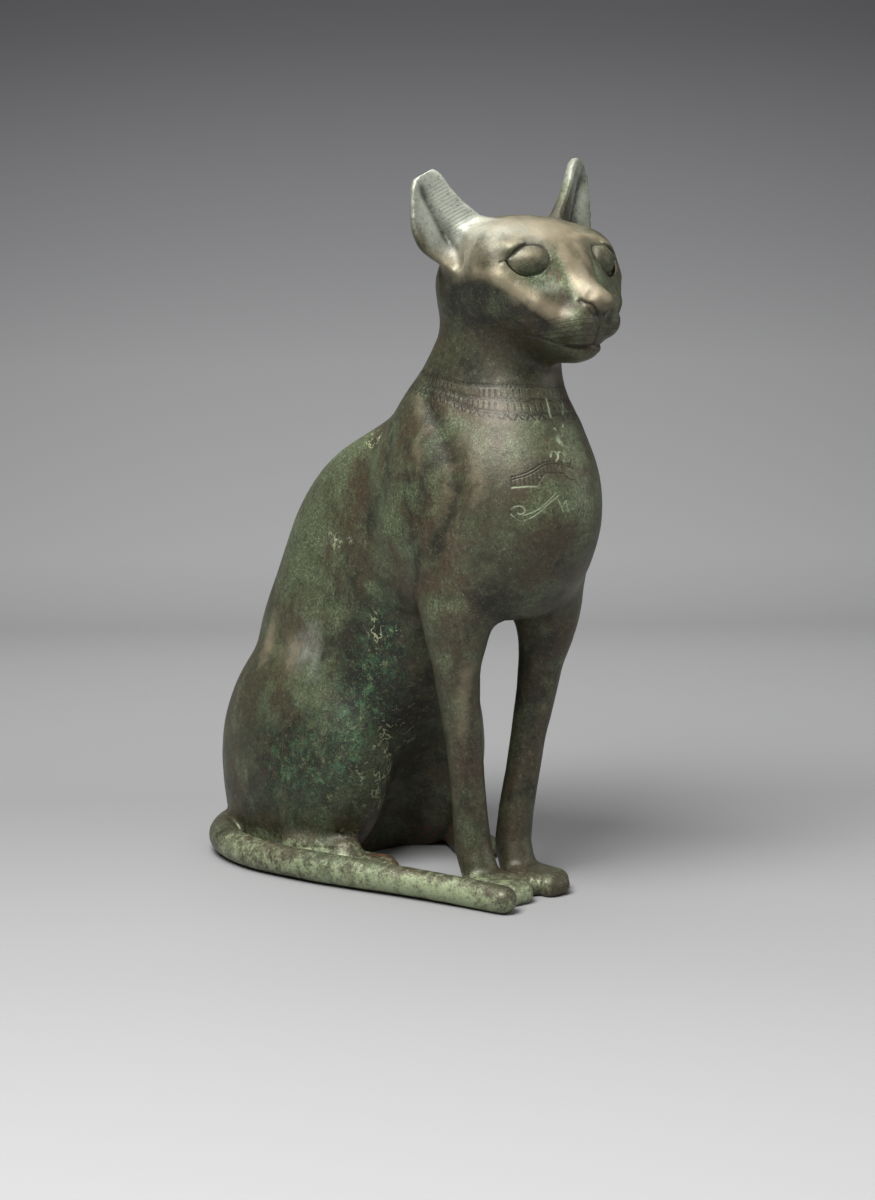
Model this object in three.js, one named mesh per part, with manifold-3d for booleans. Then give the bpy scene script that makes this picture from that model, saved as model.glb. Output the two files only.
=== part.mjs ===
// A seated bronze cat, cast in one piece: upright head with tall ears, slim straight forelegs,
// rounded haunches, and a tail that curls round the right side to the front paws.
//
// Millimetres, +Z up. The cat faces -Y and its left side is +X. The origin lies on the plane that
// the cat stands on, under the middle of the seat.
//
// The form is described as a field, a function of a point that is about the distance to the bronze,
// negative inside it. Rounded masses are blended into one another, as a modeller joins rolls and pads
// of wax, and a net of faces is then drawn over the place where the field is zero.
import * as THREE from "three";
import { mergeVertices } from "three/addons/utils/BufferGeometryUtils.js";
import Module from "manifold-3d";

// Driving dimensions

const FIGURE_HEIGHT = 320; // standing plane to the tip of the taller ear
const SURVEY_HEIGHT = 320; // height of the figure that the proportions below were taken from
const NET_CELL = 1.4; // spacing of the net that is first drawn over the form
const FACE_COUNT = 9400; // triangles that the finished surface keeps

// A length of the figure, which keeps its share of the figure's height.
const mm = (length) => (length * FIGURE_HEIGHT) / SURVEY_HEIGHT;
const place = (x, y, z) => new THREE.Vector3(mm(x), mm(y), mm(z));

// Shapes of the field

// The smaller of two distances, with the seam between them filled to a fillet of about this width.
function join(a, b, fillet) {
  const near = Math.max(fillet - Math.abs(a - b), 0) / fillet;
  return Math.min(a, b) - near * near * fillet * 0.25;
}

// The first form with the second cut out of it, the edge eased by the fillet.
function carve(form, tool, fillet) {
  return -join(-form, tool, fillet);
}

// An ellipsoid with its own axes: turn is a THREE.Euler, or nothing for one that stands square.
function ellipsoid(centre, radii, turn) {
  const basis = new THREE.Matrix4();
  if (turn) basis.makeRotationFromEuler(turn);
  const [a, b, c, , d, e, f, , g, h, i] = basis.elements;
  return (x, y, z) => {
    const dx = x - centre.x;
    const dy = y - centre.y;
    const dz = z - centre.z;
    const u = (dx * a + dy * b + dz * c) / radii.x;
    const v = (dx * d + dy * e + dz * f) / radii.y;
    const w = (dx * g + dy * h + dz * i) / radii.z;
    const reach = Math.hypot(u, v, w);
    const steep = Math.hypot(u / radii.x, v / radii.y, w / radii.z);
    return steep > 1e-9 ? (reach * (reach - 1)) / steep : -Math.min(radii.x, radii.y, radii.z);
  };
}

// A round limb from one point to another, its radius changing evenly on the way.
function limb(start, end, startRadius, endRadius) {
  const dx = end.x - start.x;
  const dy = end.y - start.y;
  const dz = end.z - start.z;
  const span = dx * dx + dy * dy + dz * dz;
  return (x, y, z) => {
    const px = x - start.x;
    const py = y - start.y;
    const pz = z - start.z;
    const along = Math.min(1, Math.max(0, (px * dx + py * dy + pz * dz) / span));
    const radius = startRadius + (endRadius - startRadius) * along;
    return Math.hypot(px - dx * along, py - dy * along, pz - dz * along) - radius;
  };
}

// The field itself near the box that holds its form, and only the distance to the box further off.
function within(low, high, field) {
  const reach = mm(16);
  return (x, y, z) => {
    const gap = Math.hypot(
      Math.max(low.x - x, 0, x - high.x),
      Math.max(low.y - y, 0, y - high.y),
      Math.max(low.z - z, 0, z - high.z),
    );
    return gap > reach ? gap : field(x, y, z);
  };
}

// A curve through knots [position, value], level beyond its ends.
function smoothThrough(knots) {
  const slopes = knots.map((knot, k) => {
    const before = knots[Math.max(0, k - 1)];
    const after = knots[Math.min(knots.length - 1, k + 1)];
    return (after[1] - before[1]) / (after[0] - before[0]);
  });
  return (position) => {
    if (position <= knots[0][0]) return knots[0][1];
    if (position >= knots[knots.length - 1][0]) return knots[knots.length - 1][1];
    let k = 0;
    while (knots[k + 1][0] < position) k += 1;
    const [from, low] = knots[k];
    const [to, high] = knots[k + 1];
    const span = to - from;
    const t = (position - from) / span;
    const t2 = t * t;
    const t3 = t2 * t;
    return (
      low * (2 * t3 - 3 * t2 + 1) +
      slopes[k] * span * (t3 - 2 * t2 + t) +
      high * (3 * t2 - 2 * t3) +
      slopes[k + 1] * span * (t3 - t2)
    );
  };
}

// A body that is an oval at each height. Each station gives the height, the oval's front and back
// and its half width; the squareness is 2 for a true ellipse and more for fuller corners.
function ovalBody(stations, squareness) {
  const heights = stations.map((s) => mm(s.height));
  const column = (pick) => smoothThrough(stations.map((s, k) => [heights[k], mm(pick(s))]));
  const front = column((s) => s.front);
  const back = column((s) => s.back);
  const half = column((s) => s.half);
  const low = heights[0];
  const high = heights[heights.length - 1];
  return (x, y, z) => {
    const level = Math.min(high, Math.max(low, z));
    const f = front(level);
    const b = back(level);
    const deep = (b - f) / 2;
    const wide = half(level);
    const u = Math.abs(x) / wide;
    const v = Math.abs(y - (f + b) / 2) / deep;
    const sum = u ** squareness + v ** squareness;
    const reach = sum ** (1 / squareness);
    const steep = Math.hypot(u ** (squareness - 1) / wide, v ** (squareness - 1) / deep) + 1e-9;
    const side = ((reach - 1) * reach ** (squareness - 1)) / steep;
    return Math.max(Math.max(side, -Math.min(wide, deep)), z - high, low - z);
  };
}

// Trunk: neck, chest and back

const chest = ovalBody(
  [
    { height: 119, front: -150, back: -98, half: 26 },
    { height: 124, front: -155.5, back: -90, half: 31.5 },
    { height: 131, front: -162.5, back: -84, half: 35.5 },
    { height: 142, front: -170.5, back: -80, half: 37.5 },
    { height: 160, front: -177.5, back: -78, half: 38.5 },
    { height: 180, front: -176.5, back: -80, half: 38 },
    { height: 200, front: -169, back: -84, half: 33 },
    { height: 215, front: -161, back: -87, half: 28.5 },
    { height: 228, front: -157.5, back: -99, half: 26 },
    { height: 245, front: -160, back: -109, half: 25.5 },
    { height: 258, front: -158, back: -114, half: 22 },
  ],
  2.1,
);

const back = ovalBody(
  [
    { height: -2, front: -38, back: 35, half: 46 },
    { height: 18, front: -46, back: 40, half: 47 },
    { height: 42, front: -62, back: 41, half: 46 },
    { height: 66, front: -82, back: 36, half: 43 },
    { height: 88, front: -95, back: 34.5, half: 41 },
    { height: 110, front: -103, back: 29, half: 39 },
    { height: 135, front: -112, back: 15.5, half: 37.5 },
    { height: 160, front: -122, back: 2, half: 35.5 },
    { height: 178, front: -126, back: -13, half: 32 },
    { height: 190, front: -128, back: -30, half: 28 },
    { height: 200, front: -128, back: -54, half: 24 },
    { height: 211, front: -128, back: -80, half: 20 },
    { height: 226, front: -128, back: -100, half: 16 },
    { height: 240, front: -128, back: -110, half: 10 },
  ],
  2.4,
);

const shoulderBlade = ellipsoid(
  place(25, -110, 180),
  place(14.5, 30, 40),
  new THREE.Euler(0.2, -0.12, 0.1),
);
const upperArm = ellipsoid(
  place(26, -131.5, 138),
  place(13.5, 17.5, 38),
  new THREE.Euler(-0.05, 0.03, 0),
);

// Hindquarters: haunch, knee and hind paw

const haunch = ellipsoid(place(28.5, -14, 44), place(24, 54, 56), new THREE.Euler(0.3, 0, 0));
const hip = ellipsoid(place(24, 1, 67), place(17, 24, 20), new THREE.Euler(0.5, 0, 0));
const knee = ellipsoid(place(28.5, -54, 47), place(17, 21, 35), new THREE.Euler(0.2, 0, 0));
const hindHeel = limb(place(42, -38, 9), place(35.5, -62, 8), mm(9.5), mm(8));

// Forelegs

const forelegRoute = [
  { at: place(27.5, -129.5, 124), radius: mm(12.6) },
  { at: place(25.8, -129, 108), radius: mm(11) },
  { at: place(22.2, -127.6, 84), radius: mm(8.9) },
  { at: place(18.6, -126.4, 66), radius: mm(7.8) },
  { at: place(15.8, -125, 48), radius: mm(7.5) },
  { at: place(13.2, -123.6, 32), radius: mm(7.7) },
  { at: place(11.4, -123.4, 18), radius: mm(8) },
  { at: place(10.8, -127, 8.5), radius: mm(8) },
];
const forelegLengths = forelegRoute.slice(1).map((end, k) => {
  const start = forelegRoute[k];
  return limb(start.at, end.at, start.radius, end.radius);
});
const foreleg = within(place(2, -144, 0), place(42, -114, 136), (x, y, z) => {
  let nearest = Infinity;
  for (const length of forelegLengths) nearest = Math.min(nearest, length(x, y, z));
  return nearest;
});

// Paws, each with four toes side by side. A paw runs in plan from its heel to its ball, and each toe
// stops short of the ball's line by its own length.

const TOE_FAN = 0.75; // the toes' spacing at the heel as a share of their spacing at the ball
const TOE_SET = 1.1; // height of a toe's root as a share of its radius
const TOE_SINK = 0.86; // height of its tip, so that it presses a little into the standing plane
const TOE_TAPER = 0.95;

function toes(paw) {
  const heel = new THREE.Vector2(...paw.heel);
  const along = new THREE.Vector2(...paw.ball).sub(heel);
  const length = along.length();
  along.normalize();
  const across = new THREE.Vector2(-along.y, along.x);
  return paw.short.map((short, k) => {
    const side = (k - (paw.short.length - 1) / 2) * paw.spread;
    const root = heel.clone().addScaledVector(across, side * TOE_FAN);
    const tip = heel.clone().addScaledVector(across, side).addScaledVector(along, length - short);
    return limb(
      place(root.x, root.y, paw.radius * TOE_SET),
      place(tip.x, tip.y, paw.radius * TOE_SINK),
      mm(paw.radius * TOE_TAPER),
      mm(paw.radius),
    );
  });
}
const foreToeList = toes({
  heel: [10.6, -131],
  ball: [10.6, -150.5],
  short: [6.5, 0, 0, 5.5],
  spread: 4.7,
  radius: 4.9,
});
const hindToeList = toes({
  heel: [37.5, -58],
  ball: [27.5, -82.5],
  short: [4, 0, 0, 4],
  spread: 4.4,
  radius: 4.6,
});

const together = (fields, fillet) => (x, y, z) =>
  fields.reduce((form, field) => join(form, field(x, y, z), fillet), mm(40));
const foreToes = within(place(0, -158, -1), place(24, -124, 15), together(foreToeList, mm(1.6)));
const hindToes = within(place(16, -90, -1), place(50, -50, 15), together(hindToeList, mm(1.6)));

// Tail

const tailRoute = new THREE.CatmullRomCurve3(
  [
    place(10, 28, 16),
    place(-8, 33.5, 10),
    place(-28, 32.5, 8),
    place(-46, 21, 7.6),
    place(-58.8, 0, 7.4),
    place(-62.4, -26, 7.2),
    place(-57, -58, 7),
    place(-47.5, -88, 6.9),
    place(-39, -112, 6.7),
    place(-31, -136, 6.2),
    place(-24.5, -158, 5.6),
  ],
  false,
  "centripetal",
);
const TAIL_STEPS = 40;
const tailRadius = (share) => mm(8 - 2.4 * share);
const tailLengths = Array.from({ length: TAIL_STEPS }, (_, k) => {
  const share = k / TAIL_STEPS;
  const next = (k + 1) / TAIL_STEPS;
  return limb(tailRoute.getPoint(share), tailRoute.getPoint(next), tailRadius(share), tailRadius(next));
});
const tail = within(place(-70, -166, -2), place(20, 44, 26), (x, y, z) => {
  let nearest = Infinity;
  for (const length of tailLengths) nearest = Math.min(nearest, length(x, y, z));
  return nearest;
});

// Head, in its own frame: the middle is the origin, and it leans a little to the cat's right

const HEAD_MIDDLE = place(0, -150, 262);
const HEAD_LEAN = THREE.MathUtils.degToRad(3.4);
const EYE_TURN = THREE.MathUtils.degToRad(38); // how far the eyes look out to the sides

const skull = ellipsoid(place(0, 7, 0.5), place(34, 37.5, 26.4));

// Face and jaw: a wedge of upright sections, each widest along the cheekbone, which comes down and
// forward from below the ear to the muzzle.
const faceStations = [
  { at: 18, half: 31, top: 26, cheek: 8, bottom: -24 },
  { at: 8, half: 34, top: 27, cheek: 6.5, bottom: -29 },
  { at: -3, half: 35.8, top: 26, cheek: 3.5, bottom: -33 },
  { at: -10, half: 36, top: 23, cheek: 2, bottom: -34.5 },
  { at: -18, half: 34.6, top: 16.6, cheek: -1.5, bottom: -35 },
  { at: -25, half: 28, top: 8.6, cheek: -9.5, bottom: -35 },
  { at: -30.5, half: 20.6, top: 1.4, cheek: -15, bottom: -33 },
  { at: -35, half: 14.6, top: -4, cheek: -17, bottom: -30 },
  { at: -38.5, half: 9, top: -8, cheek: -17, bottom: -26 },
  { at: -41, half: 2, top: -13, cheek: -17, bottom: -21 },
].reverse();
const faceProfile = (key) => smoothThrough(faceStations.map((s) => [mm(s.at), mm(s[key])]));
const faceHalf = faceProfile("half");
const faceTop = faceProfile("top");
const faceCheek = faceProfile("cheek");
const faceBottom = faceProfile("bottom");
const FACE_FRONT = mm(faceStations[0].at);
const FACE_BACK = mm(faceStations[faceStations.length - 1].at);
const browSquareness = smoothThrough([
  [mm(-38), 1.7],
  [mm(-31), 2],
  [mm(-24), 2.9],
  [mm(-14), 3.4],
  [mm(6), 2.8],
]);
const CHEEK_SQUARENESS = 1.4;

function face(x, y, z) {
  const level = Math.min(FACE_BACK, Math.max(FACE_FRONT, y));
  const wide = faceHalf(level);
  const cheek = faceCheek(level);
  const upper = z > cheek;
  const tall = upper ? faceTop(level) - cheek : cheek - faceBottom(level);
  const power = upper ? browSquareness(level) : CHEEK_SQUARENESS;
  const u = x / wide;
  const v = Math.abs(z - cheek) / tall;
  const reach = (u ** power + v ** power) ** (1 / power);
  const steep = Math.hypot(u ** (power - 1) / wide, v ** (power - 1) / tall) + 1e-9;
  const side = ((reach - 1) * reach ** (power - 1)) / steep;
  return Math.max(Math.max(side, -Math.min(wide, tall)), FACE_FRONT - y, y - FACE_BACK);
}

const bridge = limb(place(0, -14, 9.4), place(0, -38.6, -9), mm(6.2), mm(5.4));
const noseTip = ellipsoid(place(0, -41.6, -10.8), place(7, 4.6, 4.2));
const whiskerPad = ellipsoid(place(7.4, -33.4, -18.6), place(8.8, 8.6, 7.8));
const chin = ellipsoid(place(0, -28, -29), place(9.4, 8, 5.8));
const cheekboneBack = limb(place(31.4, 0, 3), place(29.6, -16, 0.5), mm(4.4), mm(4.2));
const cheekboneMiddle = limb(place(29.6, -16, 0.5), place(20, -26.5, -10.5), mm(4.2), mm(3.8));
const cheekboneFront = limb(place(20, -26.5, -10.5), place(14, -30.5, -17), mm(3.8), mm(3.6));
const brow = limb(place(5, -26, 5), place(11, -20, 12.4), mm(3.2), mm(3.2));
const temple = ellipsoid(place(23.6, -9, 9.5), place(10.6, 13, 11));
const eyeSocket = ellipsoid(
  place(22.2, -25.8, 7),
  place(10.4, 3, 6.9),
  new THREE.Euler(0, 0, EYE_TURN),
);
const eyeball = ellipsoid(
  place(20.6, -20.4, 7),
  place(10.2, 7.2, 7),
  new THREE.Euler(0, 0, EYE_TURN),
);
const earHollow = limb(place(36.6, 3.6, 9), place(36, 6, 20), mm(3), mm(3.6));

// Ear: a blade, rounded behind, with two faces in front that meet in a groove along its length

const EAR_BASE = place(29, 7, 15);
const EAR_FACING = new THREE.Vector3(0.36, -0.92, 0.05);
const EAR_CREASE = mm(3.6); // from the blade's straight middle line out to the groove

// The outer face opens at the blade's foot, the inner one only further up, from the forehead.
function opened(rise, offCrease) {
  const outer = Math.min(1, Math.max(0, (rise + mm(8)) / mm(13)));
  if (offCrease > 0) return THREE.MathUtils.smoothstep(outer, 0, 1);
  const inner = Math.min(1, Math.max(0, (rise - mm(1)) / mm(20)));
  const nearCrease = Math.exp(-((offCrease / mm(3.5)) ** 2));
  return THREE.MathUtils.smoothstep(inner + (outer - inner) * nearCrease, 0, 1);
}

// Both faces grow shallow towards the tip.
const closed = (toTip) => 0.15 + 0.85 * THREE.MathUtils.smoothstep(toTip, 0, mm(9));

function earShape(tip) {
  const up = tip.clone().sub(EAR_BASE).normalize();
  const facing = EAR_FACING.clone().addScaledVector(up, -EAR_FACING.dot(up)).normalize();
  const across = new THREE.Vector3().crossVectors(up, facing).normalize();
  const length = tip.distanceTo(EAR_BASE);
  const halfWidth = smoothThrough([
    [-mm(9), mm(7)],
    [-mm(2), mm(12)],
    [mm(6), mm(14.6)],
    [length * 0.4, mm(13.4)],
    [length * 0.7, mm(9.8)],
    [length * 0.92, mm(6.8)],
    [length, mm(4.6)],
  ]);
  const depth = smoothThrough([
    [-mm(9), mm(8)],
    [mm(6), mm(8)],
    [length * 0.5, mm(5.4)],
    [length, mm(3.2)],
  ]);
  const bow = smoothThrough([
    [0, 0],
    [length * 0.5, mm(3.4)],
    [length, 0],
  ]);
  return (x, y, z) => {
    const dx = x - EAR_BASE.x;
    const dy = y - EAR_BASE.y;
    const dz = z - EAR_BASE.z;
    const rise = dx * up.x + dy * up.y + dz * up.z;
    const bowed = bow(rise);
    const side = dx * across.x + dy * across.y + dz * across.z - bowed;
    const out = dx * facing.x + dy * facing.y + dz * facing.z;
    const wide = halfWidth(rise);
    const deep = depth(rise);
    const round = (Math.abs(side / wide) ** 2.5 + Math.abs(out / deep) ** 2.5) ** 0.4;
    const shell = (round - 1) * Math.min(wide, deep);
    const above = rise - length;
    const blade = above > 0 ? Math.hypot(Math.max(shell, 0), above) : shell;
    const crease = EAR_CREASE - bowed;
    const fold = side > crease ? (side - crease) / (wide - crease) : (crease - side) / (wide + crease);
    const opening = opened(rise, side - crease) * closed(length - mm(1) - rise);
    const gutter = Math.exp(-(((side - crease) / mm(1.9)) ** 2));
    const front = mm(2) - ((1 - fold) * deep * 0.55 + gutter * mm(2.2)) * opening;
    return Math.max(blade, (out - front) * 0.8, -mm(10) - rise);
  };
}
const leftEar = earShape(place(46, 14, 53.5));
const rightEar = earShape(place(42, 16, 46.5));

const head = within(place(-54, -198, 222), place(54, -102, 322), (px, py, pz) => {
  const cos = Math.cos(HEAD_LEAN);
  const sin = Math.sin(HEAD_LEAN);
  const dx = px - HEAD_MIDDLE.x;
  const dz = pz - HEAD_MIDDLE.z;
  const side = dx * cos + dz * sin;
  const x = Math.abs(side);
  const y = py - HEAD_MIDDLE.y;
  const z = dz * cos - dx * sin;
  let form = join(skull(x, y, z), face(x, y, z), mm(8));
  form = join(form, cheekboneBack(x, y, z), mm(4));
  form = join(form, cheekboneMiddle(x, y, z), mm(5));
  form = join(form, cheekboneFront(x, y, z), mm(5));
  form = join(form, brow(x, y, z), mm(5));
  form = join(form, temple(x, y, z), mm(8));
  form = join(form, bridge(x, y, z), mm(6));
  form = join(form, whiskerPad(x, y, z), mm(2.4));
  form = join(form, chin(x, y, z), mm(2.5));
  form = join(form, noseTip(x, y, z), mm(2.4));
  form = carve(form, eyeSocket(x, y, z), mm(2.4));
  form = join(form, eyeball(x, y, z), mm(0.6));
  form = join(form, (side > 0 ? leftEar : rightEar)(x, y, z), mm(5));
  return carve(form, earHollow(x, y, z), mm(3));
});

// The whole figure

const SOLE_DEPTH = mm(3); // how far the form runs on below the plane where it is cut flat

function figure(px, y, z) {
  const x = Math.abs(px);
  let form = join(chest(x, y, z), back(x, y, z), mm(22));
  form = join(form, shoulderBlade(x, y, z), mm(7));
  form = join(form, upperArm(x, y, z), mm(8));
  form = join(form, haunch(x, y, z), mm(9));
  form = join(form, hip(x, y, z), mm(9));
  form = join(form, knee(x, y, z), mm(12));
  form = join(form, foreleg(x, y, z), mm(8));
  form = join(form, hindHeel(x, y, z), mm(4));
  form = join(form, foreToes(x, y, z), mm(2.4));
  form = join(form, hindToes(x, y, z), mm(2.4));
  form = join(form, head(px, y, z), mm(9));
  form = join(form, tail(px, y, z), mm(1.5));
  return Math.max(form, -z - SOLE_DEPTH);
}

// Surface

const LOW = place(-76, -205, -7);
const HIGH = place(60, 48, 330);

// A cell's corners are numbered so that the three bits of the number are its steps along X, Y and Z.
const CELL_CORNERS = [0, 1, 2, 3, 4, 5, 6, 7];
const CORNER_STEPS = CELL_CORNERS.map((n) => [n & 1, (n >> 1) & 1, n >> 2]);
const AXIS_BITS = [1, 2, 4];
const AXIS_STEPS = [
  [1, 0, 0],
  [0, 1, 0],
  [0, 0, 1],
];

// Whether the chosen corners of a cell hang together along the cell's edges. The set is a byte, one
// bit to a corner.
function hangsTogether(set) {
  let reached = set & -set;
  for (let grown = -1; grown !== reached; ) {
    grown = reached;
    for (const corner of CELL_CORNERS) {
      if (!(reached & (1 << corner))) continue;
      for (const bit of AXIS_BITS) reached |= (1 << (corner ^ bit)) & set;
    }
  }
  return reached === set;
}
const ALL_CORNERS = 255;
const TORN = Array.from(
  { length: ALL_CORNERS + 1 },
  (_, set) => !(hangsTogether(set) && hangsTogether(ALL_CORNERS - set)),
);

// The grid that the field is read on.
class Grid {
  constructor(low, high, cell) {
    this.low = low;
    this.cell = cell;
    const count = new THREE.Vector3().subVectors(high, low).divideScalar(cell).ceil();
    this.size = [count.x + 1, count.y + 1, count.z + 1];
    this.values = new Float32Array(this.size[0] * this.size[1] * this.size[2]);
  }

  at(i, j, k) {
    return (k * this.size[1] + j) * this.size[0] + i;
  }

  // Calls visit(i, j, k) for each grid point from one corner of a range up to another.
  each([i0, j0, k0], [i1, j1, k1], visit) {
    for (let k = k0; k < k1; k += 1) {
      for (let j = j0; j < j1; j += 1) {
        for (let i = i0; i < i1; i += 1) visit(i, j, k);
      }
    }
  }

  // Reads the field block by block. A block that lies wholly to one side takes its middle's value.
  read(field) {
    const { low, cell, size } = this;
    const half = (BLOCK * cell) / 2;
    const blocks = size.map((n) => Math.ceil(n / BLOCK));
    this.each([0, 0, 0], blocks, (...block) => {
      const from = block.map((n) => n * BLOCK);
      const to = from.map((n, axis) => Math.min(size[axis], n + BLOCK));
      const [x, y, z] = [low.x + from[0] * cell, low.y + from[1] * cell, low.z + from[2] * cell];
      const middle = field(x + half, y + half, z + half);
      const far = Math.abs(middle) > half * BLOCK_REACH;
      this.each(from, to, (i, j, k) => {
        this.values[this.at(i, j, k)] = far
          ? middle
          : field(low.x + i * cell, low.y + j * cell, low.z + k * cell);
      });
    });
  }

  // Fills the corners at which two sheets of the surface would meet in one cell, so that the net
  // stays one plain sheet.
  closeTears() {
    const { values, size } = this;
    const cornerOf = CORNER_STEPS.map(([i, j, k]) => this.at(i, j, k));
    let torn = true;
    const mend = (i, j, k) => {
      const cell = this.at(i, j, k);
      let inside = 0;
      for (const n of CELL_CORNERS) {
        if (values[cell + cornerOf[n]] < 0) inside |= 1 << n;
      }
      if (!TORN[inside]) return;
      const outside = CELL_CORNERS.filter((n) => !(inside & (1 << n)));
      outside.sort((a, b) => values[cell + cornerOf[a]] - values[cell + cornerOf[b]]);
      values[cell + cornerOf[outside[0]]] = -JUST_INSIDE;
      torn = true;
    };
    while (torn) {
      torn = false;
      this.each([0, 0, 0], size.map((n) => n - 1), mend);
    }
  }
}
const BLOCK = 8; // grid steps along a block
const BLOCK_REACH = 3.2; // half blocks beyond which a block can't hold any of the surface
const JUST_INSIDE = 1e-3;

// Draws a net over the field's zero level: one vertex in each cell that the surface crosses, and one
// quad across each edge of the grid whose ends lie on opposite sides.
function netOver(grid) {
  const { low, cell, values, size } = grid;
  const points = [];
  const vertexOf = new Map();
  const vertexIn = (i, j, k) => {
    const key = grid.at(i, j, k);
    if (vertexOf.has(key)) return vertexOf.get(key);
    let crossings = 0;
    const sum = [0, 0, 0];
    for (const n of CELL_CORNERS) {
      for (const bit of AXIS_BITS.filter((b) => !(n & b))) {
        const from = CORNER_STEPS[n];
        const to = CORNER_STEPS[n | bit];
        const atFrom = values[grid.at(i + from[0], j + from[1], k + from[2])];
        const atTo = values[grid.at(i + to[0], j + to[1], k + to[2])];
        if (atFrom < 0 === atTo < 0) continue;
        const share = atFrom / (atFrom - atTo);
        for (let axis = 0; axis < 3; axis += 1) {
          sum[axis] += from[axis] + (to[axis] - from[axis]) * share;
        }
        crossings += 1;
      }
    }
    const index = points.length / 3;
    points.push(
      low.x + (i + sum[0] / crossings) * cell,
      low.y + (j + sum[1] / crossings) * cell,
      low.z + (k + sum[2] / crossings) * cell,
    );
    vertexOf.set(key, index);
    return index;
  };
  const triangles = [];
  const quadAcross = (i, j, k, axis) => {
    const step = AXIS_STEPS[axis];
    const inside = values[grid.at(i, j, k)] < 0;
    if (inside === values[grid.at(i + step[0], j + step[1], k + step[2])] < 0) return;
    const u = AXIS_STEPS[(axis + 1) % 3];
    const v = AXIS_STEPS[(axis + 2) % 3];
    const quad = [
      vertexIn(i, j, k),
      vertexIn(i - u[0], j - u[1], k - u[2]),
      vertexIn(i - u[0] - v[0], j - u[1] - v[1], k - u[2] - v[2]),
      vertexIn(i - v[0], j - v[1], k - v[2]),
    ];
    if (!inside) quad.reverse();
    const [a, b, c, d] = quad;
    triangles.push(a, b, c, a, c, d);
  };
  grid.each([1, 1, 1], size.map((n) => n - 1), (i, j, k) => {
    for (let axis = 0; axis < 3; axis += 1) quadAcross(i, j, k, axis);
  });
  return { points, triangles };
}

const SLOPE_STEP = 0.02; // cells, over which the field's slope is taken
const LONGEST_MOVE = 0.4; // cells, that a vertex moves in one round
const FLATTEST_SLOPE = 0.2; // square of the slope that a move is reckoned with at least

// Moves each vertex along the field's slope until it lies on the zero level.
function settle(points, field, rounds, cell) {
  const step = cell * SLOPE_STEP;
  const most = cell * LONGEST_MOVE;
  const move = (v) => {
    const [x, y, z] = [points[v], points[v + 1], points[v + 2]];
    const slope = [
      (field(x + step, y, z) - field(x - step, y, z)) / (2 * step),
      (field(x, y + step, z) - field(x, y - step, z)) / (2 * step),
      (field(x, y, z + step) - field(x, y, z - step)) / (2 * step),
    ];
    const square = slope[0] ** 2 + slope[1] ** 2 + slope[2] ** 2;
    const share = -field(x, y, z) / Math.max(square, FLATTEST_SLOPE);
    const reach = Math.max(-most, Math.min(most, share));
    for (let axis = 0; axis < 3; axis += 1) points[v + axis] += slope[axis] * reach;
  };
  for (let v = 0; v < points.length; v += 3) {
    for (let round = 0; round < rounds; round += 1) move(v);
  }
}

// A binary heap of edges, the one that costs least on top.
class EdgeHeap {
  constructor() {
    this.items = [];
  }

  push(item) {
    const { items } = this;
    let at = items.length;
    while (at > 0) {
      const parent = (at - 1) >> 1;
      if (items[parent].cost <= item.cost) break;
      items[at] = items[parent];
      at = parent;
    }
    items[at] = item;
  }

  pop() {
    const { items } = this;
    const top = items[0];
    const last = items.pop();
    if (items.length === 0) return top;
    let at = 0;
    for (;;) {
      let child = 2 * at + 1;
      if (child >= items.length) break;
      if (child + 1 < items.length && items[child + 1].cost < items[child].cost) child += 1;
      if (items[child].cost >= last.cost) break;
      items[at] = items[child];
      at = child;
    }
    items[at] = last;
    return top;
  }
}

const PLANE_TERMS = 10; // numbers that hold the sum of the squared distances from any planes
const EDGE_PULL = 0.003; // holds a meeting place near its edge on flat ground
const LONG_EDGE_COST = 1e-5;
const LEAST_AGREEMENT = 0.35; // cosine of the most that a face may turn
const LEAST_FATNESS = 0.12; // of a face's doubled area against the square of its longest side
const NO_SIZE = 1e-12;
const AXES = [0, 1, 2];

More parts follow.
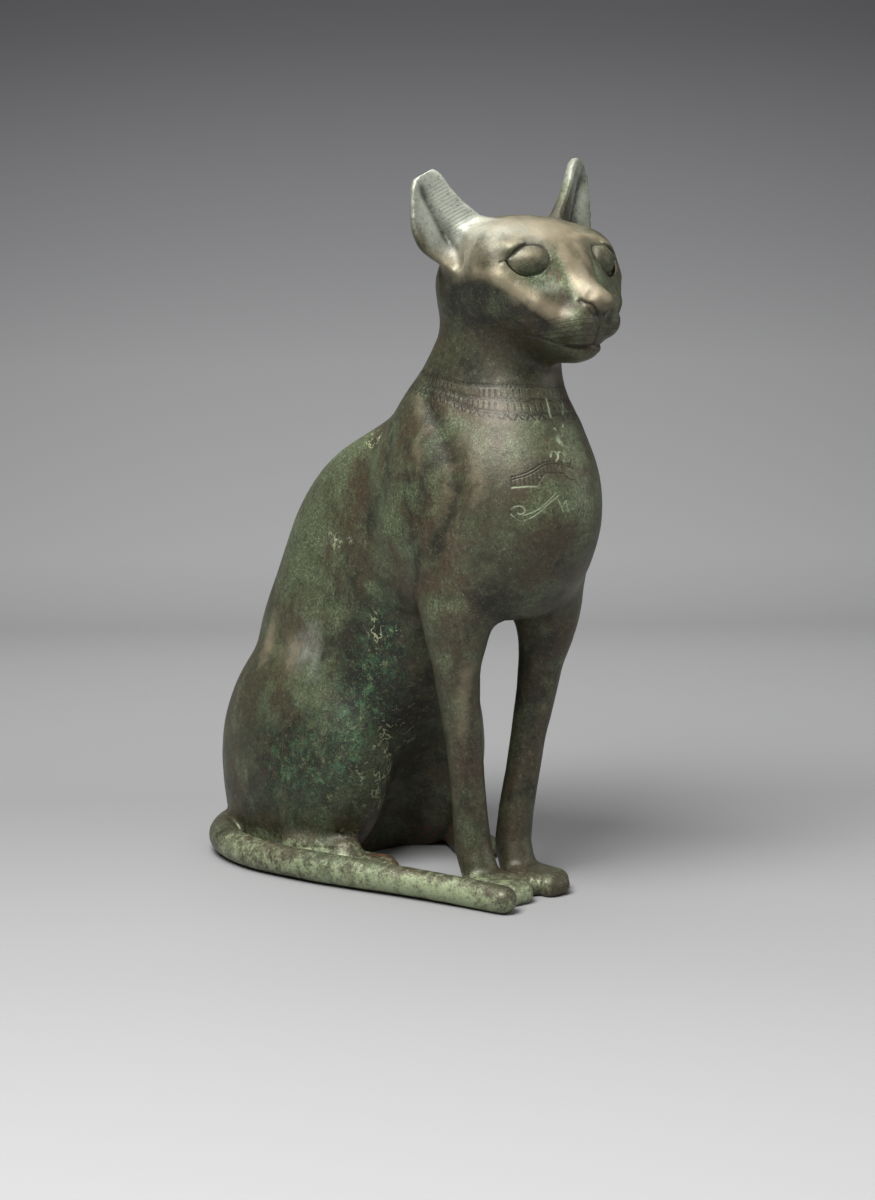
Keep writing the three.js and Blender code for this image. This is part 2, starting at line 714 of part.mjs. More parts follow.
// Thins a closed net by drawing edges together, the least missed first. The cost of a place is its
// squared distance from the planes of the faces that were drawn into it, times the care taken there.
class NetThinner {
  constructor(points, triangles, careAt) {
    this.points = Float64Array.from(points);
    this.faces = [];
    this.facesOf = Array.from({ length: points.length / 3 }, () => []);
    this.error = new Float64Array((points.length / 3) * PLANE_TERMS);
    this.stamp = new Uint32Array(points.length / 3);
    this.heap = new EdgeHeap();
    for (let t = 0; t < triangles.length; t += 3) {
      const face = [triangles[t], triangles[t + 1], triangles[t + 2]];
      this.faces.push(face);
      for (const v of face) this.facesOf[v].push(this.faces.length - 1);
      this.addPlane(face, careAt);
    }
    this.left = this.faces.length;
    for (const face of this.faces) {
      for (const k of AXES) {
        const [v, w] = [face[k], face[(k + 1) % 3]];
        if (v < w) this.offer(v, w);
      }
    }
  }

  normalOf(face, moved, target) {
    const corner = (v, axis) => (v === moved ? target[axis] : this.points[3 * v + axis]);
    const [a, b, c] = face;
    const [ux, uy, uz] = AXES.map((axis) => corner(b, axis) - corner(a, axis));
    const [vx, vy, vz] = AXES.map((axis) => corner(c, axis) - corner(a, axis));
    return [uy * vz - uz * vy, uz * vx - ux * vz, ux * vy - uy * vx];
  }

  addPlane(face, careAt) {
    const [nx, ny, nz] = this.normalOf(face, -1, null);
    const size = Math.hypot(nx, ny, nz);
    if (size < NO_SIZE) return;
    const [a, b, c] = [nx / size, ny / size, nz / size];
    const at = face[0] * 3;
    const [x, y, z] = [this.points[at], this.points[at + 1], this.points[at + 2]];
    const d = -(a * x + b * y + c * z);
    const weight = (size / 6) * careAt(x, y, z);
    const terms = [a * a, a * b, a * c, a * d, b * b, b * c, b * d, c * c, c * d, d * d];
    for (const v of face) {
      for (let k = 0; k < PLANE_TERMS; k += 1) this.error[v * PLANE_TERMS + k] += weight * terms[k];
    }
  }

  distance(p, q) {
    return Math.hypot(p[0] - q[0], p[1] - q[1], p[2] - q[2]);
  }

  pointOf(v) {
    return this.points.subarray(3 * v, 3 * v + 3);
  }

  // The place for two joined vertices and what it costs.
  meeting(v, w) {
    const q = Array.from(
      { length: PLANE_TERMS },
      (_, k) => this.error[v * PLANE_TERMS + k] + this.error[w * PLANE_TERMS + k],
    );
    const middle = AXES.map((axis) => (this.points[3 * v + axis] + this.points[3 * w + axis]) / 2);
    const span = this.distance(this.pointOf(v), middle);
    const pull = (q[0] + q[4] + q[7]) * EDGE_PULL + NO_SIZE;
    const [a, b, c, e, f, h] = [q[0] + pull, q[1], q[2], q[4] + pull, q[5], q[7] + pull];
    const [r, s, t] = [pull * middle[0] - q[3], pull * middle[1] - q[6], pull * middle[2] - q[8]];
    const det = a * (e * h - f * f) - b * (b * h - f * c) + c * (b * f - e * c);
    let target = [
      (r * (e * h - f * f) - b * (s * h - f * t) + c * (s * f - e * t)) / det,
      (a * (s * h - f * t) - r * (b * h - f * c) + c * (b * t - s * c)) / det,
      (a * (e * t - s * f) - b * (b * t - s * c) + r * (b * f - e * c)) / det,
    ];
    if (!(this.distance(target, middle) < span * 2)) target = middle;
    const [x, y, z] = target;
    const squares = q[0] * x * x + q[4] * y * y + q[7] * z * z + q[9];
    const products = q[1] * x * y + q[2] * x * z + q[5] * y * z;
    const missed = squares + 2 * (products + q[3] * x + q[6] * y + q[8] * z);
    return { target, cost: Math.max(0, missed) + LONG_EDGE_COST * span ** 4 };
  }

  offer(v, w) {
    const { target, cost } = this.meeting(v, w);
    this.heap.push({ v, w, target, cost, stampV: this.stamp[v], stampW: this.stamp[w] });
  }

  neighbours(v) {
    const found = new Set();
    for (const f of this.facesOf[v]) {
      for (const u of this.faces[f]) found.add(u);
    }
    found.delete(v);
    return found;
  }

  // Whether the faces round a vertex stay open and keep facing the same way when it moves.
  staysFair(v, other, target) {
    for (const f of this.facesOf[v]) {
      const face = this.faces[f];
      if (face.includes(other)) continue;
      const before = this.normalOf(face, -1, null);
      const after = this.normalOf(face, v, target);
      const [was, is] = [Math.hypot(...before), Math.hypot(...after)];
      const dot = before[0] * after[0] + before[1] * after[1] + before[2] * after[2];
      if (dot < LEAST_AGREEMENT * was * is || is < NO_SIZE) return false;
      const corners = face.map((u) => (u === v ? target : this.pointOf(u)));
      const sides = AXES.map((k) => this.distance(corners[k], corners[(k + 1) % 3]));
      if (is < LEAST_FATNESS * Math.max(...sides) ** 2) return false;
    }
    return true;
  }

  draw(edge) {
    const { v, w, target } = edge;
    const shared = this.facesOf[v].filter((f) => this.faces[f].includes(w));
    const around = this.neighbours(v);
    let common = 0;
    for (const u of this.neighbours(w)) if (around.has(u)) common += 1;
    if (shared.length !== 2 || common !== 2) return;
    if (!this.staysFair(v, w, target) || !this.staysFair(w, v, target)) return;
    for (let axis = 0; axis < 3; axis += 1) this.points[3 * v + axis] = target[axis];
    for (let k = 0; k < PLANE_TERMS; k += 1) {
      this.error[v * PLANE_TERMS + k] += this.error[w * PLANE_TERMS + k];
    }
    for (const f of shared) {
      for (const u of this.faces[f].filter((corner) => corner !== w)) {
        this.facesOf[u] = this.facesOf[u].filter((g) => g !== f);
      }
    }
    for (const f of this.facesOf[w]) {
      if (shared.includes(f)) {
        this.faces[f] = null;
        continue;
      }
      this.faces[f] = this.faces[f].map((u) => (u === w ? v : u));
      this.facesOf[v].push(f);
    }
    this.facesOf[w] = [];
    this.left -= 2;
    this.stamp[v] += 1;
    this.stamp[w] += 1;
    for (const u of this.neighbours(v)) this.offer(Math.min(u, v), Math.max(u, v));
  }

  thinTo(count) {
    while (this.left > count && this.heap.items.length > 0) {
      const edge = this.heap.pop();
      if (edge.stampV === this.stamp[edge.v] && edge.stampW === this.stamp[edge.w]) this.draw(edge);
    }
    const index = new Map();
    const points = [];
    const triangles = [];
    for (const face of this.faces) {
      if (!face) continue;
      for (const v of face) {
        if (!index.has(v)) {
          index.set(v, points.length / 3);
          points.push(this.points[3 * v], this.points[3 * v + 1], this.points[3 * v + 2]);
        }
        triangles.push(index.get(v));
      }
    }
    return { points, triangles };
  }
}

// The face, the ears and the paws carry the finest forms.
const CARE = { face: 40, head: 14, forepaws: 12, ground: 3, elsewhere: 1 };

function careAt(x, y, z) {
  if (z > mm(226)) return y < mm(-155) ? CARE.face : CARE.head;
  if (z > mm(16)) return CARE.elsewhere;
  return y < mm(-120) ? CARE.forepaws : CARE.ground;
}

const grid = new Grid(LOW, HIGH, mm(NET_CELL));
grid.read(figure);
grid.closeTears();
const net = netOver(grid);
settle(net.points, figure, 3, mm(NET_CELL));
const thinned = new NetThinner(net.points, net.triangles, careAt).thinTo(FACE_COUNT);

// The underside is cut flat where the cat stands.
const wasm = await Module();
wasm.setup();

function solidFrom(points, triangles) {
  return new wasm.Manifold(
    new wasm.Mesh({
      numProp: 3,
      vertProperties: new Float32Array(points),
      triVerts: new Uint32Array(triangles),
    }),
  );
}

const ground = mergeVertices(
  new THREE.BoxGeometry(mm(400), mm(500), mm(40)).deleteAttribute("normal").deleteAttribute("uv"),
).translate(0, mm(-80), mm(-20));
const standing = solidFrom(thinned.points, thinned.triangles).subtract(
  solidFrom(ground.attributes.position.array, ground.index.array),
);
const cast = standing.getMesh();

const surface = new THREE.BufferGeometry();
surface.setAttribute("position", new THREE.BufferAttribute(cast.vertProperties, 3));
surface.setIndex(new THREE.BufferAttribute(cast.triVerts, 1));
surface.computeVertexNormals();

const bronze = new THREE.MeshStandardMaterial({ color: 0x5c5f45, roughness: 0.5, metalness: 0.6 });
const cat = new THREE.Mesh(surface, bronze);
cat.name = "bronze_cat";

const group = new THREE.Group();
group.add(cat);
export default group;
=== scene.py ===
"""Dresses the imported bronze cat: a fine skin with its incised work, the patina, and a studio."""

from __future__ import annotations

import logging
import math
from collections.abc import Callable
from dataclasses import dataclass
from enum import Enum
from functools import cached_property

import bmesh
import bpy
import numpy as np
from mathutils import Matrix, Vector, noise


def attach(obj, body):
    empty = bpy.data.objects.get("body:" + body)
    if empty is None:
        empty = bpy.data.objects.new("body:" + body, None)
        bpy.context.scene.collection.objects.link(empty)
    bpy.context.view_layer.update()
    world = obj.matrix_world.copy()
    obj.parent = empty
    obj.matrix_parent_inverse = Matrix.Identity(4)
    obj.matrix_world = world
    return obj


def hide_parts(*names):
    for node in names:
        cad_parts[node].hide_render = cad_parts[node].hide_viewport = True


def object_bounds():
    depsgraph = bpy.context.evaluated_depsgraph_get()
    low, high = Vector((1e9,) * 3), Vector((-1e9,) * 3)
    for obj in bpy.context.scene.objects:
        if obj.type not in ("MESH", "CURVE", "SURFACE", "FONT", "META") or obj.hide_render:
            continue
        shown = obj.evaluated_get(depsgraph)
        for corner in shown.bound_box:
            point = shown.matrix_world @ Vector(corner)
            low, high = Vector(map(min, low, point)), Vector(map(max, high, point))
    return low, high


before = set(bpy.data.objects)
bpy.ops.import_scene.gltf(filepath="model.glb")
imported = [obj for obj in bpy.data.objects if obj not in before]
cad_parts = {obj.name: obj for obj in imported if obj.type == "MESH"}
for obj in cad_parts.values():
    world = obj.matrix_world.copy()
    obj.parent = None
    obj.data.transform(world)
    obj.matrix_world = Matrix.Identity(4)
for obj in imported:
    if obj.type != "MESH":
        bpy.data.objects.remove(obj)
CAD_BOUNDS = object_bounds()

log = logging.getLogger("bronze_cat")

# One millimetre in metres. The rest is in millimetres: the height up to which a point belongs to the
# flat underside, and a distance that stands for out of reach.
MM = 0.001
UNDERSIDE = 0.01
FAR = 1e3

Triple = tuple[float, float, float]
Field = Callable[[np.ndarray], np.ndarray]


def mirrored(p: np.ndarray) -> np.ndarray:
    """Lay points of both sides on the cat's left side."""
    return np.column_stack([np.abs(p[:, 0]), p[:, 1:]])


def ridge(distance: np.ndarray, half_width: float) -> np.ndarray:
    """Give a rounded profile, 1 on a line and almost 0 from two half widths on."""
    return np.exp(-((distance / half_width) ** 2))


def rise(low: float, high: float, value: np.ndarray) -> np.ndarray:
    """Rise smoothly from 0 where value is low to 1 where it is high."""
    t = np.clip((value - low) / (high - low), 0.0, 1.0)
    return t * t * (3 - 2 * t)


def join(a: np.ndarray, b: np.ndarray, fillet: float) -> np.ndarray:
    """Unite two forms and fill the seam between them.

    Args:
        a: Distances to the first form, in millimetres.
        b: Distances to the second form.
        fillet: Width of the fillet along the seam.

    Returns:
        Distances to both forms together.
    """
    near = np.maximum(fillet - np.abs(a - b), 0.0) / fillet
    return np.minimum(a, b) - near * near * fillet * 0.25


def carve(form: np.ndarray, tool: np.ndarray, fillet: float) -> np.ndarray:
    """Cut one form out of another.

    Args:
        form: Distances to the form that is cut.
        tool: Distances to the form that is taken away.
        fillet: Width over which the edge is eased.

    Returns:
        Distances to what is left.
    """
    return -join(-form, tool, fillet)


def turned_axes(turn: Triple) -> np.ndarray:
    """Give the axes of a form that is turned about X, then Y, then Z.

    Args:
        turn: The three angles in radians.

    Returns:
        A 3 x 3 matrix whose columns are the axes.
    """
    (cx, cy, cz), (sx, sy, sz) = np.cos(turn), np.sin(turn)
    about_x = np.array([[1, 0, 0], [0, cx, -sx], [0, sx, cx]])
    about_y = np.array([[cy, 0, sy], [0, 1, 0], [-sy, 0, cy]])
    about_z = np.array([[cz, -sz, 0], [sz, cz, 0], [0, 0, 1]])
    return about_x @ about_y @ about_z


def hermite(
    t: np.ndarray, start: np.ndarray, leave: np.ndarray, end: np.ndarray, arrive: np.ndarray
) -> np.ndarray:
    """Go smoothly from one value to another.

    Args:
        t: How far along the way, from 0 to 1.
        start: The value at the start.
        leave: Its slope there over the whole way.
        end: The value at the end.
        arrive: Its slope there over the whole way.

    Returns:
        The value at t.
    """
    rest, whole = 2 * t**3 - 3 * t**2 + 1, 3 * t**2 - 2 * t**3
    return start * rest + leave * (t**3 - 2 * t**2 + t) + end * whole + arrive * (t**3 - t**2)


@dataclass(frozen=True)
class Curve:
    """A smooth curve through knots (position, value), level beyond its ends."""

    knots: tuple[tuple[float, float], ...]

    def __call__(self, at: np.ndarray) -> np.ndarray:
        """Read the curve.

        Args:
            at: Positions.

        Returns:
            The curve's values there.
        """
        x, v = np.array(self.knots, dtype=float).T
        before, after = np.r_[0, : len(x) - 1], np.r_[1 : len(x), len(x) - 1]
        slope = (v[after] - v[before]) / (x[after] - x[before])
        at = np.clip(at, x[0], x[-1])
        k = np.clip(np.searchsorted(x, at, side="left") - 1, 0, len(x) - 2)
        span = x[k + 1] - x[k]
        t = (at - x[k]) / span
        return hermite(t, v[k], slope[k] * span, v[k + 1], slope[k + 1] * span)


def read_stations(stations: tuple[tuple[float, ...], ...], level: np.ndarray) -> list[np.ndarray]:
    """Read the columns of a table of stations as smooth curves over its first column.

    Args:
        stations: The table's rows, in order.
        level: Where to read it.

    Returns:
        For each further column its values there.
    """
    first, *columns = zip(*stations)
    return [Curve(tuple(zip(first, column)))(level) for column in columns]


@dataclass(frozen=True)
class Ellipsoid:
    """A rounded mass with its own axes."""

    centre: Triple
    radii: Triple
    turn: Triple = (0.0, 0.0, 0.0)

    def __call__(self, p: np.ndarray) -> np.ndarray:
        """Give the distances of points to the mass.

        Args:
            p: Points, in millimetres.

        Returns:
            Distances, negative inside.
        """
        radii = np.array(self.radii)
        local = (p - self.centre) @ turned_axes(self.turn) / radii
        reach = np.linalg.norm(local, axis=1)
        steep = np.maximum(np.linalg.norm(local / radii, axis=1), 1e-9)
        return reach * (reach - 1) / steep


@dataclass(frozen=True)
class Limb:
    """A round limb whose radius changes evenly from one end to the other."""

    start: Triple
    end: Triple
    start_radius: float
    end_radius: float

    def __call__(self, p: np.ndarray) -> np.ndarray:
        """Give the distances of points to the limb.

        Args:
            p: Points, in millimetres.

        Returns:
            Distances, negative inside.
        """
        way = np.subtract(self.end, self.start)
        from_start = p - self.start
        along = np.clip(from_start @ way / (way @ way), 0.0, 1.0)
        radius = self.start_radius + (self.end_radius - self.start_radius) * along
        return np.linalg.norm(from_start - along[:, None] * way, axis=1) - radius


@dataclass(frozen=True)
class Chain:
    """Limbs set end to end along a route of (place, radius)."""

    route: tuple[tuple[Triple, float], ...]

    def __call__(self, p: np.ndarray) -> np.ndarray:
        """Give the distances of points p to the chain."""
        pairs = zip(self.route, self.route[1:])
        return np.minimum.reduce([Limb(a, b, ra, rb)(p) for (a, ra), (b, rb) in pairs])


@dataclass(frozen=True)
class OvalBody:
    """A body that is an oval at each height; stations are (height, front, back, half width)."""

    stations: tuple[tuple[float, float, float, float], ...]
    squareness: float

    def __call__(self, p: np.ndarray) -> np.ndarray:
        """Give the distances of points to the body.

        Args:
            p: Points, in millimetres.

        Returns:
            Distances, negative inside.
        """
        lowest, highest = self.stations[0][0], self.stations[-1][0]
        front, back, wide = read_stations(self.stations, np.clip(p[:, 2], lowest, highest))
        deep = (back - front) / 2
        u = np.abs(p[:, 0]) / wide
        v = np.abs(p[:, 1] - (front + back) / 2) / deep
        side = oval_distance(u, v, wide, deep, self.squareness)
        return np.maximum(side, np.maximum(p[:, 2] - highest, lowest - p[:, 2]))


def oval_distance(
    u: np.ndarray, v: np.ndarray, wide: np.ndarray, tall: np.ndarray, power: float | np.ndarray
) -> np.ndarray:
    """Give the distance to a squared oval.

    Args:
        u: Places across the oval, as shares of its half width.
        v: Places along its other axis, as shares of that half size.
        wide: Half width of the oval.
        tall: Its other half size.
        power: Squareness: 2 for an ellipse, more for fuller corners.

    Returns:
        Distances, negative inside.
    """
    u, v = np.maximum(u, 1e-6), np.maximum(v, 1e-6)
    reach = (u**power + v**power) ** (1 / power)
    steep = np.hypot(u ** (power - 1) / wide, v ** (power - 1) / tall) + 1e-9
    side = (reach - 1) * reach ** (power - 1) / steep
    return np.maximum(side, -np.minimum(wide, tall))


@dataclass(frozen=True)
class Near:
    """A form that is worked out only near the box that holds it."""

    low: Triple
    high: Triple
    form: Field
    reach: float = 16.0

    def __call__(self, p: np.ndarray) -> np.ndarray:
        """Give the distances of points to the form.

        Args:
            p: Points, in millimetres.

        Returns:
            Distances to the form, or to its box where that is farther than the reach.
        """
        gap = np.linalg.norm(np.maximum(np.maximum(self.low - p, p - self.high), 0.0), axis=1)
        close = gap <= self.reach
        gap[close] = self.form(p[close])
        return gap


def smooth_route(knots: np.ndarray, steps: int) -> np.ndarray:
    """Lay a centripetal Catmull-Rom curve through knots.

    Args:
        knots: N x 3 places.
        steps: Number of even steps of the curve's parameter.

    Returns:
        steps + 1 places on the curve.
    """
    ends = 2 * knots[0] - knots[1], 2 * knots[-1] - knots[-2]
    p = np.vstack([ends[0], knots, ends[1]])
    gaps = np.linalg.norm(np.diff(p, axis=0), axis=1) ** 0.5
    places = []
    for share in np.linspace(0, len(knots) - 1, steps + 1):
        k = min(int(share), len(knots) - 2)
        t = share - k
        d0, d1, d2 = gaps[k : k + 3]
        p0, p1, p2, p3 = p[k : k + 4]
        m1 = ((p1 - p0) / d0 - (p2 - p0) / (d0 + d1) + (p2 - p1) / d1) * d1
        m2 = ((p2 - p1) / d1 - (p3 - p1) / (d1 + d2) + (p3 - p2) / d2) * d1
        places.append(hermite(t, p1, m1, p2, m2))
    return np.array(places)


@dataclass(frozen=True)
class Trunk:
    """Neck, chest, back and shoulders."""

    chest: OvalBody = OvalBody(
        (
            (119, -150, -98, 26), (124, -155.5, -90, 31.5), (131, -162.5, -84, 35.5),
            (142, -170.5, -80, 37.5), (160, -177.5, -78, 38.5), (180, -176.5, -80, 38),
            (200, -169, -84, 33), (215, -161, -87, 28.5), (228, -157.5, -99, 26), (245, -160, -109, 25.5),
            (258, -158, -114, 22),
        ),
        2.1,
    )
    back: OvalBody = OvalBody(
        (
            (-2, -38, 35, 46), (18, -46, 40, 47), (42, -62, 41, 46), (66, -82, 36, 43), (88, -95, 34.5, 41),
            (110, -103, 29, 39), (135, -112, 15.5, 37.5), (160, -122, 2, 35.5), (178, -126, -13, 32),
            (190, -128, -30, 28), (200, -128, -54, 24), (211, -128, -80, 20), (226, -128, -100, 16),
            (240, -128, -110, 10),
        ),
        2.4,
    )
    shoulder_blade: Ellipsoid = Ellipsoid((25, -110, 180), (14.5, 30, 40), (0.2, -0.12, 0.1))
    upper_arm: Ellipsoid = Ellipsoid((26, -131.5, 138), (13.5, 17.5, 38), (-0.05, 0.03, 0))
    haunch: Ellipsoid = Ellipsoid((28.5, -14, 44), (24, 54, 56), (0.3, 0, 0))
    hip: Ellipsoid = Ellipsoid((24, 1, 67), (17, 24, 20), (0.5, 0, 0))
    knee: Ellipsoid = Ellipsoid((28.5, -54, 47), (17, 21, 35), (0.2, 0, 0))

    def __call__(self, p: np.ndarray) -> np.ndarray:
        """Give the distances of points to the trunk and the thighs.

        Args:
            p: Mirrored points, in millimetres.

        Returns:
            Distances, negative inside.
        """
        form = join(self.chest(p), self.back(p), 22)
        masses = (
            (self.shoulder_blade, 7), (self.upper_arm, 8), (self.haunch, 9), (self.hip, 9), (self.knee, 12),
        )
        for mass, fillet in masses:
            form = join(form, mass(p), fillet)
        return form


@dataclass(frozen=True)
class Paw:
    """Toes side by side; each stops short of the ball's line by its own length."""

    heel: tuple[float, float]
    ball: tuple[float, float]
    short: tuple[float, ...]
    spread: float
    radius: float
    fan: float = 0.75
    root_height: float = 1.1
    sink: float = 0.86
    taper: float = 0.95
    seam: float = 1.6
    far: float = 40.0

    @cached_property
    def toes(self) -> list[Limb]:
        """The toes, from the inner side out."""
        heel, ball = np.array(self.heel), np.array(self.ball)
        length = float(np.linalg.norm(ball - heel))
        along = (ball - heel) / length
        across = np.array([-along[1], along[0]])
        made = []
        for k, short in enumerate(self.short):
            side = (k - (len(self.short) - 1) / 2) * self.spread
            root = heel + across * side * self.fan
            tip = heel + across * side + along * (length - short)
            start, end = (*root, self.radius * self.root_height), (*tip, self.radius * self.sink)
            made.append(Limb(start, end, self.radius * self.taper, self.radius))
        return made

    def __call__(self, p: np.ndarray) -> np.ndarray:
        """Give the distances of points to the toes.

        Args:
            p: Mirrored points, in millimetres.

        Returns:
            Distances, negative inside.
        """
        form = np.full(len(p), self.far)
        for toe in self.toes:
            form = join(form, toe(p), self.seam)
        return form


@dataclass(frozen=True)
class Legs:
    """The straight forelegs, the heels and the four paws."""

    foreleg: Chain = Chain(
        (
            ((27.5, -129.5, 124), 12.6), ((25.8, -129, 108), 11), ((22.2, -127.6, 84), 8.9),
            ((18.6, -126.4, 66), 7.8), ((15.8, -125, 48), 7.5), ((13.2, -123.6, 32), 7.7),
            ((11.4, -123.4, 18), 8), ((10.8, -127, 8.5), 8),
        )
    )
    hind_heel: Limb = Limb((42, -38, 9), (35.5, -62, 8), 9.5, 8)
    forepaw: Paw = Paw((10.6, -131), (10.6, -150.5), (6.5, 0, 0, 5.5), 4.7, 4.9)
    hind_paw: Paw = Paw((37.5, -58), (27.5, -82.5), (4, 0, 0, 4), 4.4, 4.6)

    def onto(self, form: np.ndarray, p: np.ndarray) -> np.ndarray:
        """Join the legs to the trunk.

        Args:
            form: Distances to the trunk.
            p: Mirrored points.

        Returns:
            Distances to the trunk and the legs.
        """
        form = join(form, Near((2, -144, 0), (42, -114, 136), self.foreleg)(p), 8)
        form = join(form, self.hind_heel(p), 4)
        form = join(form, Near((0, -158, -1), (24, -124, 15), self.forepaw)(p), 2.4)
        return join(form, Near((16, -90, -1), (50, -50, 15), self.hind_paw)(p), 2.4)


@dataclass(frozen=True)
class Tail:
    """The tail, which leaves the rump, rounds the right haunch and ends beside the forepaw."""

    knots: tuple[Triple, ...] = (
        (10, 28, 16), (-8, 33.5, 10), (-28, 32.5, 8), (-46, 21, 7.6), (-58.8, 0, 7.4), (-62.4, -26, 7.2),
        (-57, -58, 7), (-47.5, -88, 6.9), (-39, -112, 6.7), (-31, -136, 6.2), (-24.5, -158, 5.6),
    )
    steps: int = 40
    root_radius: float = 8.0
    taper: float = 2.4

    @cached_property
    def chain(self) -> Chain:
        """The tail's limbs."""
        places = smooth_route(np.array(self.knots, dtype=float), self.steps)
        radii = self.root_radius - self.taper * np.linspace(0, 1, self.steps + 1)
        return Chain(tuple((tuple(place), radius) for place, radius in zip(places, radii)))

    def __call__(self, p: np.ndarray) -> np.ndarray:
        """Give the distances of points p to the tail."""
        return Near((-70, -166, -2), (20, 44, 26), self.chain)(p)


@dataclass(frozen=True)
class Ear:
    """A blade, rounded behind, with two faces in front that meet in a groove."""

    tip: Triple
    base: Triple = (29, 7, 15)
    facing: Triple = (0.36, -0.92, 0.05)

    @cached_property
    def axes(self) -> tuple[np.ndarray, np.ndarray, np.ndarray, float]:
        """The blade's way up, its way across, the way it faces, and its length."""
        up = np.subtract(self.tip, self.base).astype(float)
        length = float(np.linalg.norm(up))
        up /= length
        facing = np.array(self.facing) - up * np.dot(self.facing, up)
        facing /= np.linalg.norm(facing)
        across = np.cross(up, facing)
        return up, across, facing, length

    def place(self, p: np.ndarray) -> tuple[np.ndarray, np.ndarray, np.ndarray]:
        """Lay points in the blade's own frame.

        Args:
            p: Mirrored points in the head's frame, in millimetres.

        Returns:
            How far each lies up the blade, to its side and out of it.
        """
        up, across, facing, _ = self.axes
        level = (p - self.base) @ up
        return level, (p - self.base) @ across - self.bow(level), (p - self.base) @ facing

    def bow(self, level: np.ndarray) -> np.ndarray:
        """Give how far the blade's middle line bows outwards at places up the blade."""
        length = self.axes[3]
        return Curve(((0, 0), (length * 0.5, 3.4), (length, 0)))(level)

    def widths(self, level: np.ndarray) -> tuple[np.ndarray, np.ndarray]:
        """Give the blade's width and its groove's place.

        Args:
            level: Places up the blade.

        Returns:
            The half width and the side of the groove there.
        """
        length = self.axes[3]
        upper = (length * 0.4, 13.4), (length * 0.7, 9.8), (length * 0.92, 6.8), (length, 4.6)
        return Curve(((-9, 7), (-2, 12), (6, 14.6), *upper))(level), 3.6 - self.bow(level)

    def __call__(self, p: np.ndarray) -> np.ndarray:
        """Give the distances of points to the ear.

        Args:
            p: Mirrored points in the head's frame, in millimetres.

        Returns:
            Distances, negative inside.
        """
        length = self.axes[3]
        level, side, out = self.place(p)
        wide, crease = self.widths(level)
        deep = Curve(((-9, 8), (6, 8), (length * 0.5, 5.4), (length, 3.2)))(level)
        around = (np.abs(side / wide) ** 2.5 + np.abs(out / deep) ** 2.5) ** 0.4
        shell = (around - 1) * np.minimum(wide, deep)
        above = level - length
        blade = np.where(above > 0, np.hypot(np.maximum(shell, 0), above), shell)

        # The two front faces fall from the rims to the groove, and open from the root on.
        beside = side - crease
        fold = np.where(beside > 0, beside / (wide - crease), -beside / (wide + crease))
        quick, slow = np.clip((level + 8) / 13, 0, 1), np.clip((level - 1) / 20, 0, 1)
        opened = np.where(beside > 0, quick, slow + (quick - slow) * ridge(beside, 3.5))
        opening = rise(0, 1, opened) * (0.15 + 0.85 * rise(0, 9, length - 1 - level))
        front = 2 - ((1 - fold) * deep * 0.55 + ridge(beside, 1.9) * 2.2) * opening
        return np.maximum(np.maximum(blade, (out - front) * 0.8), -10 - level)


EYE_TURN = math.radians(38)


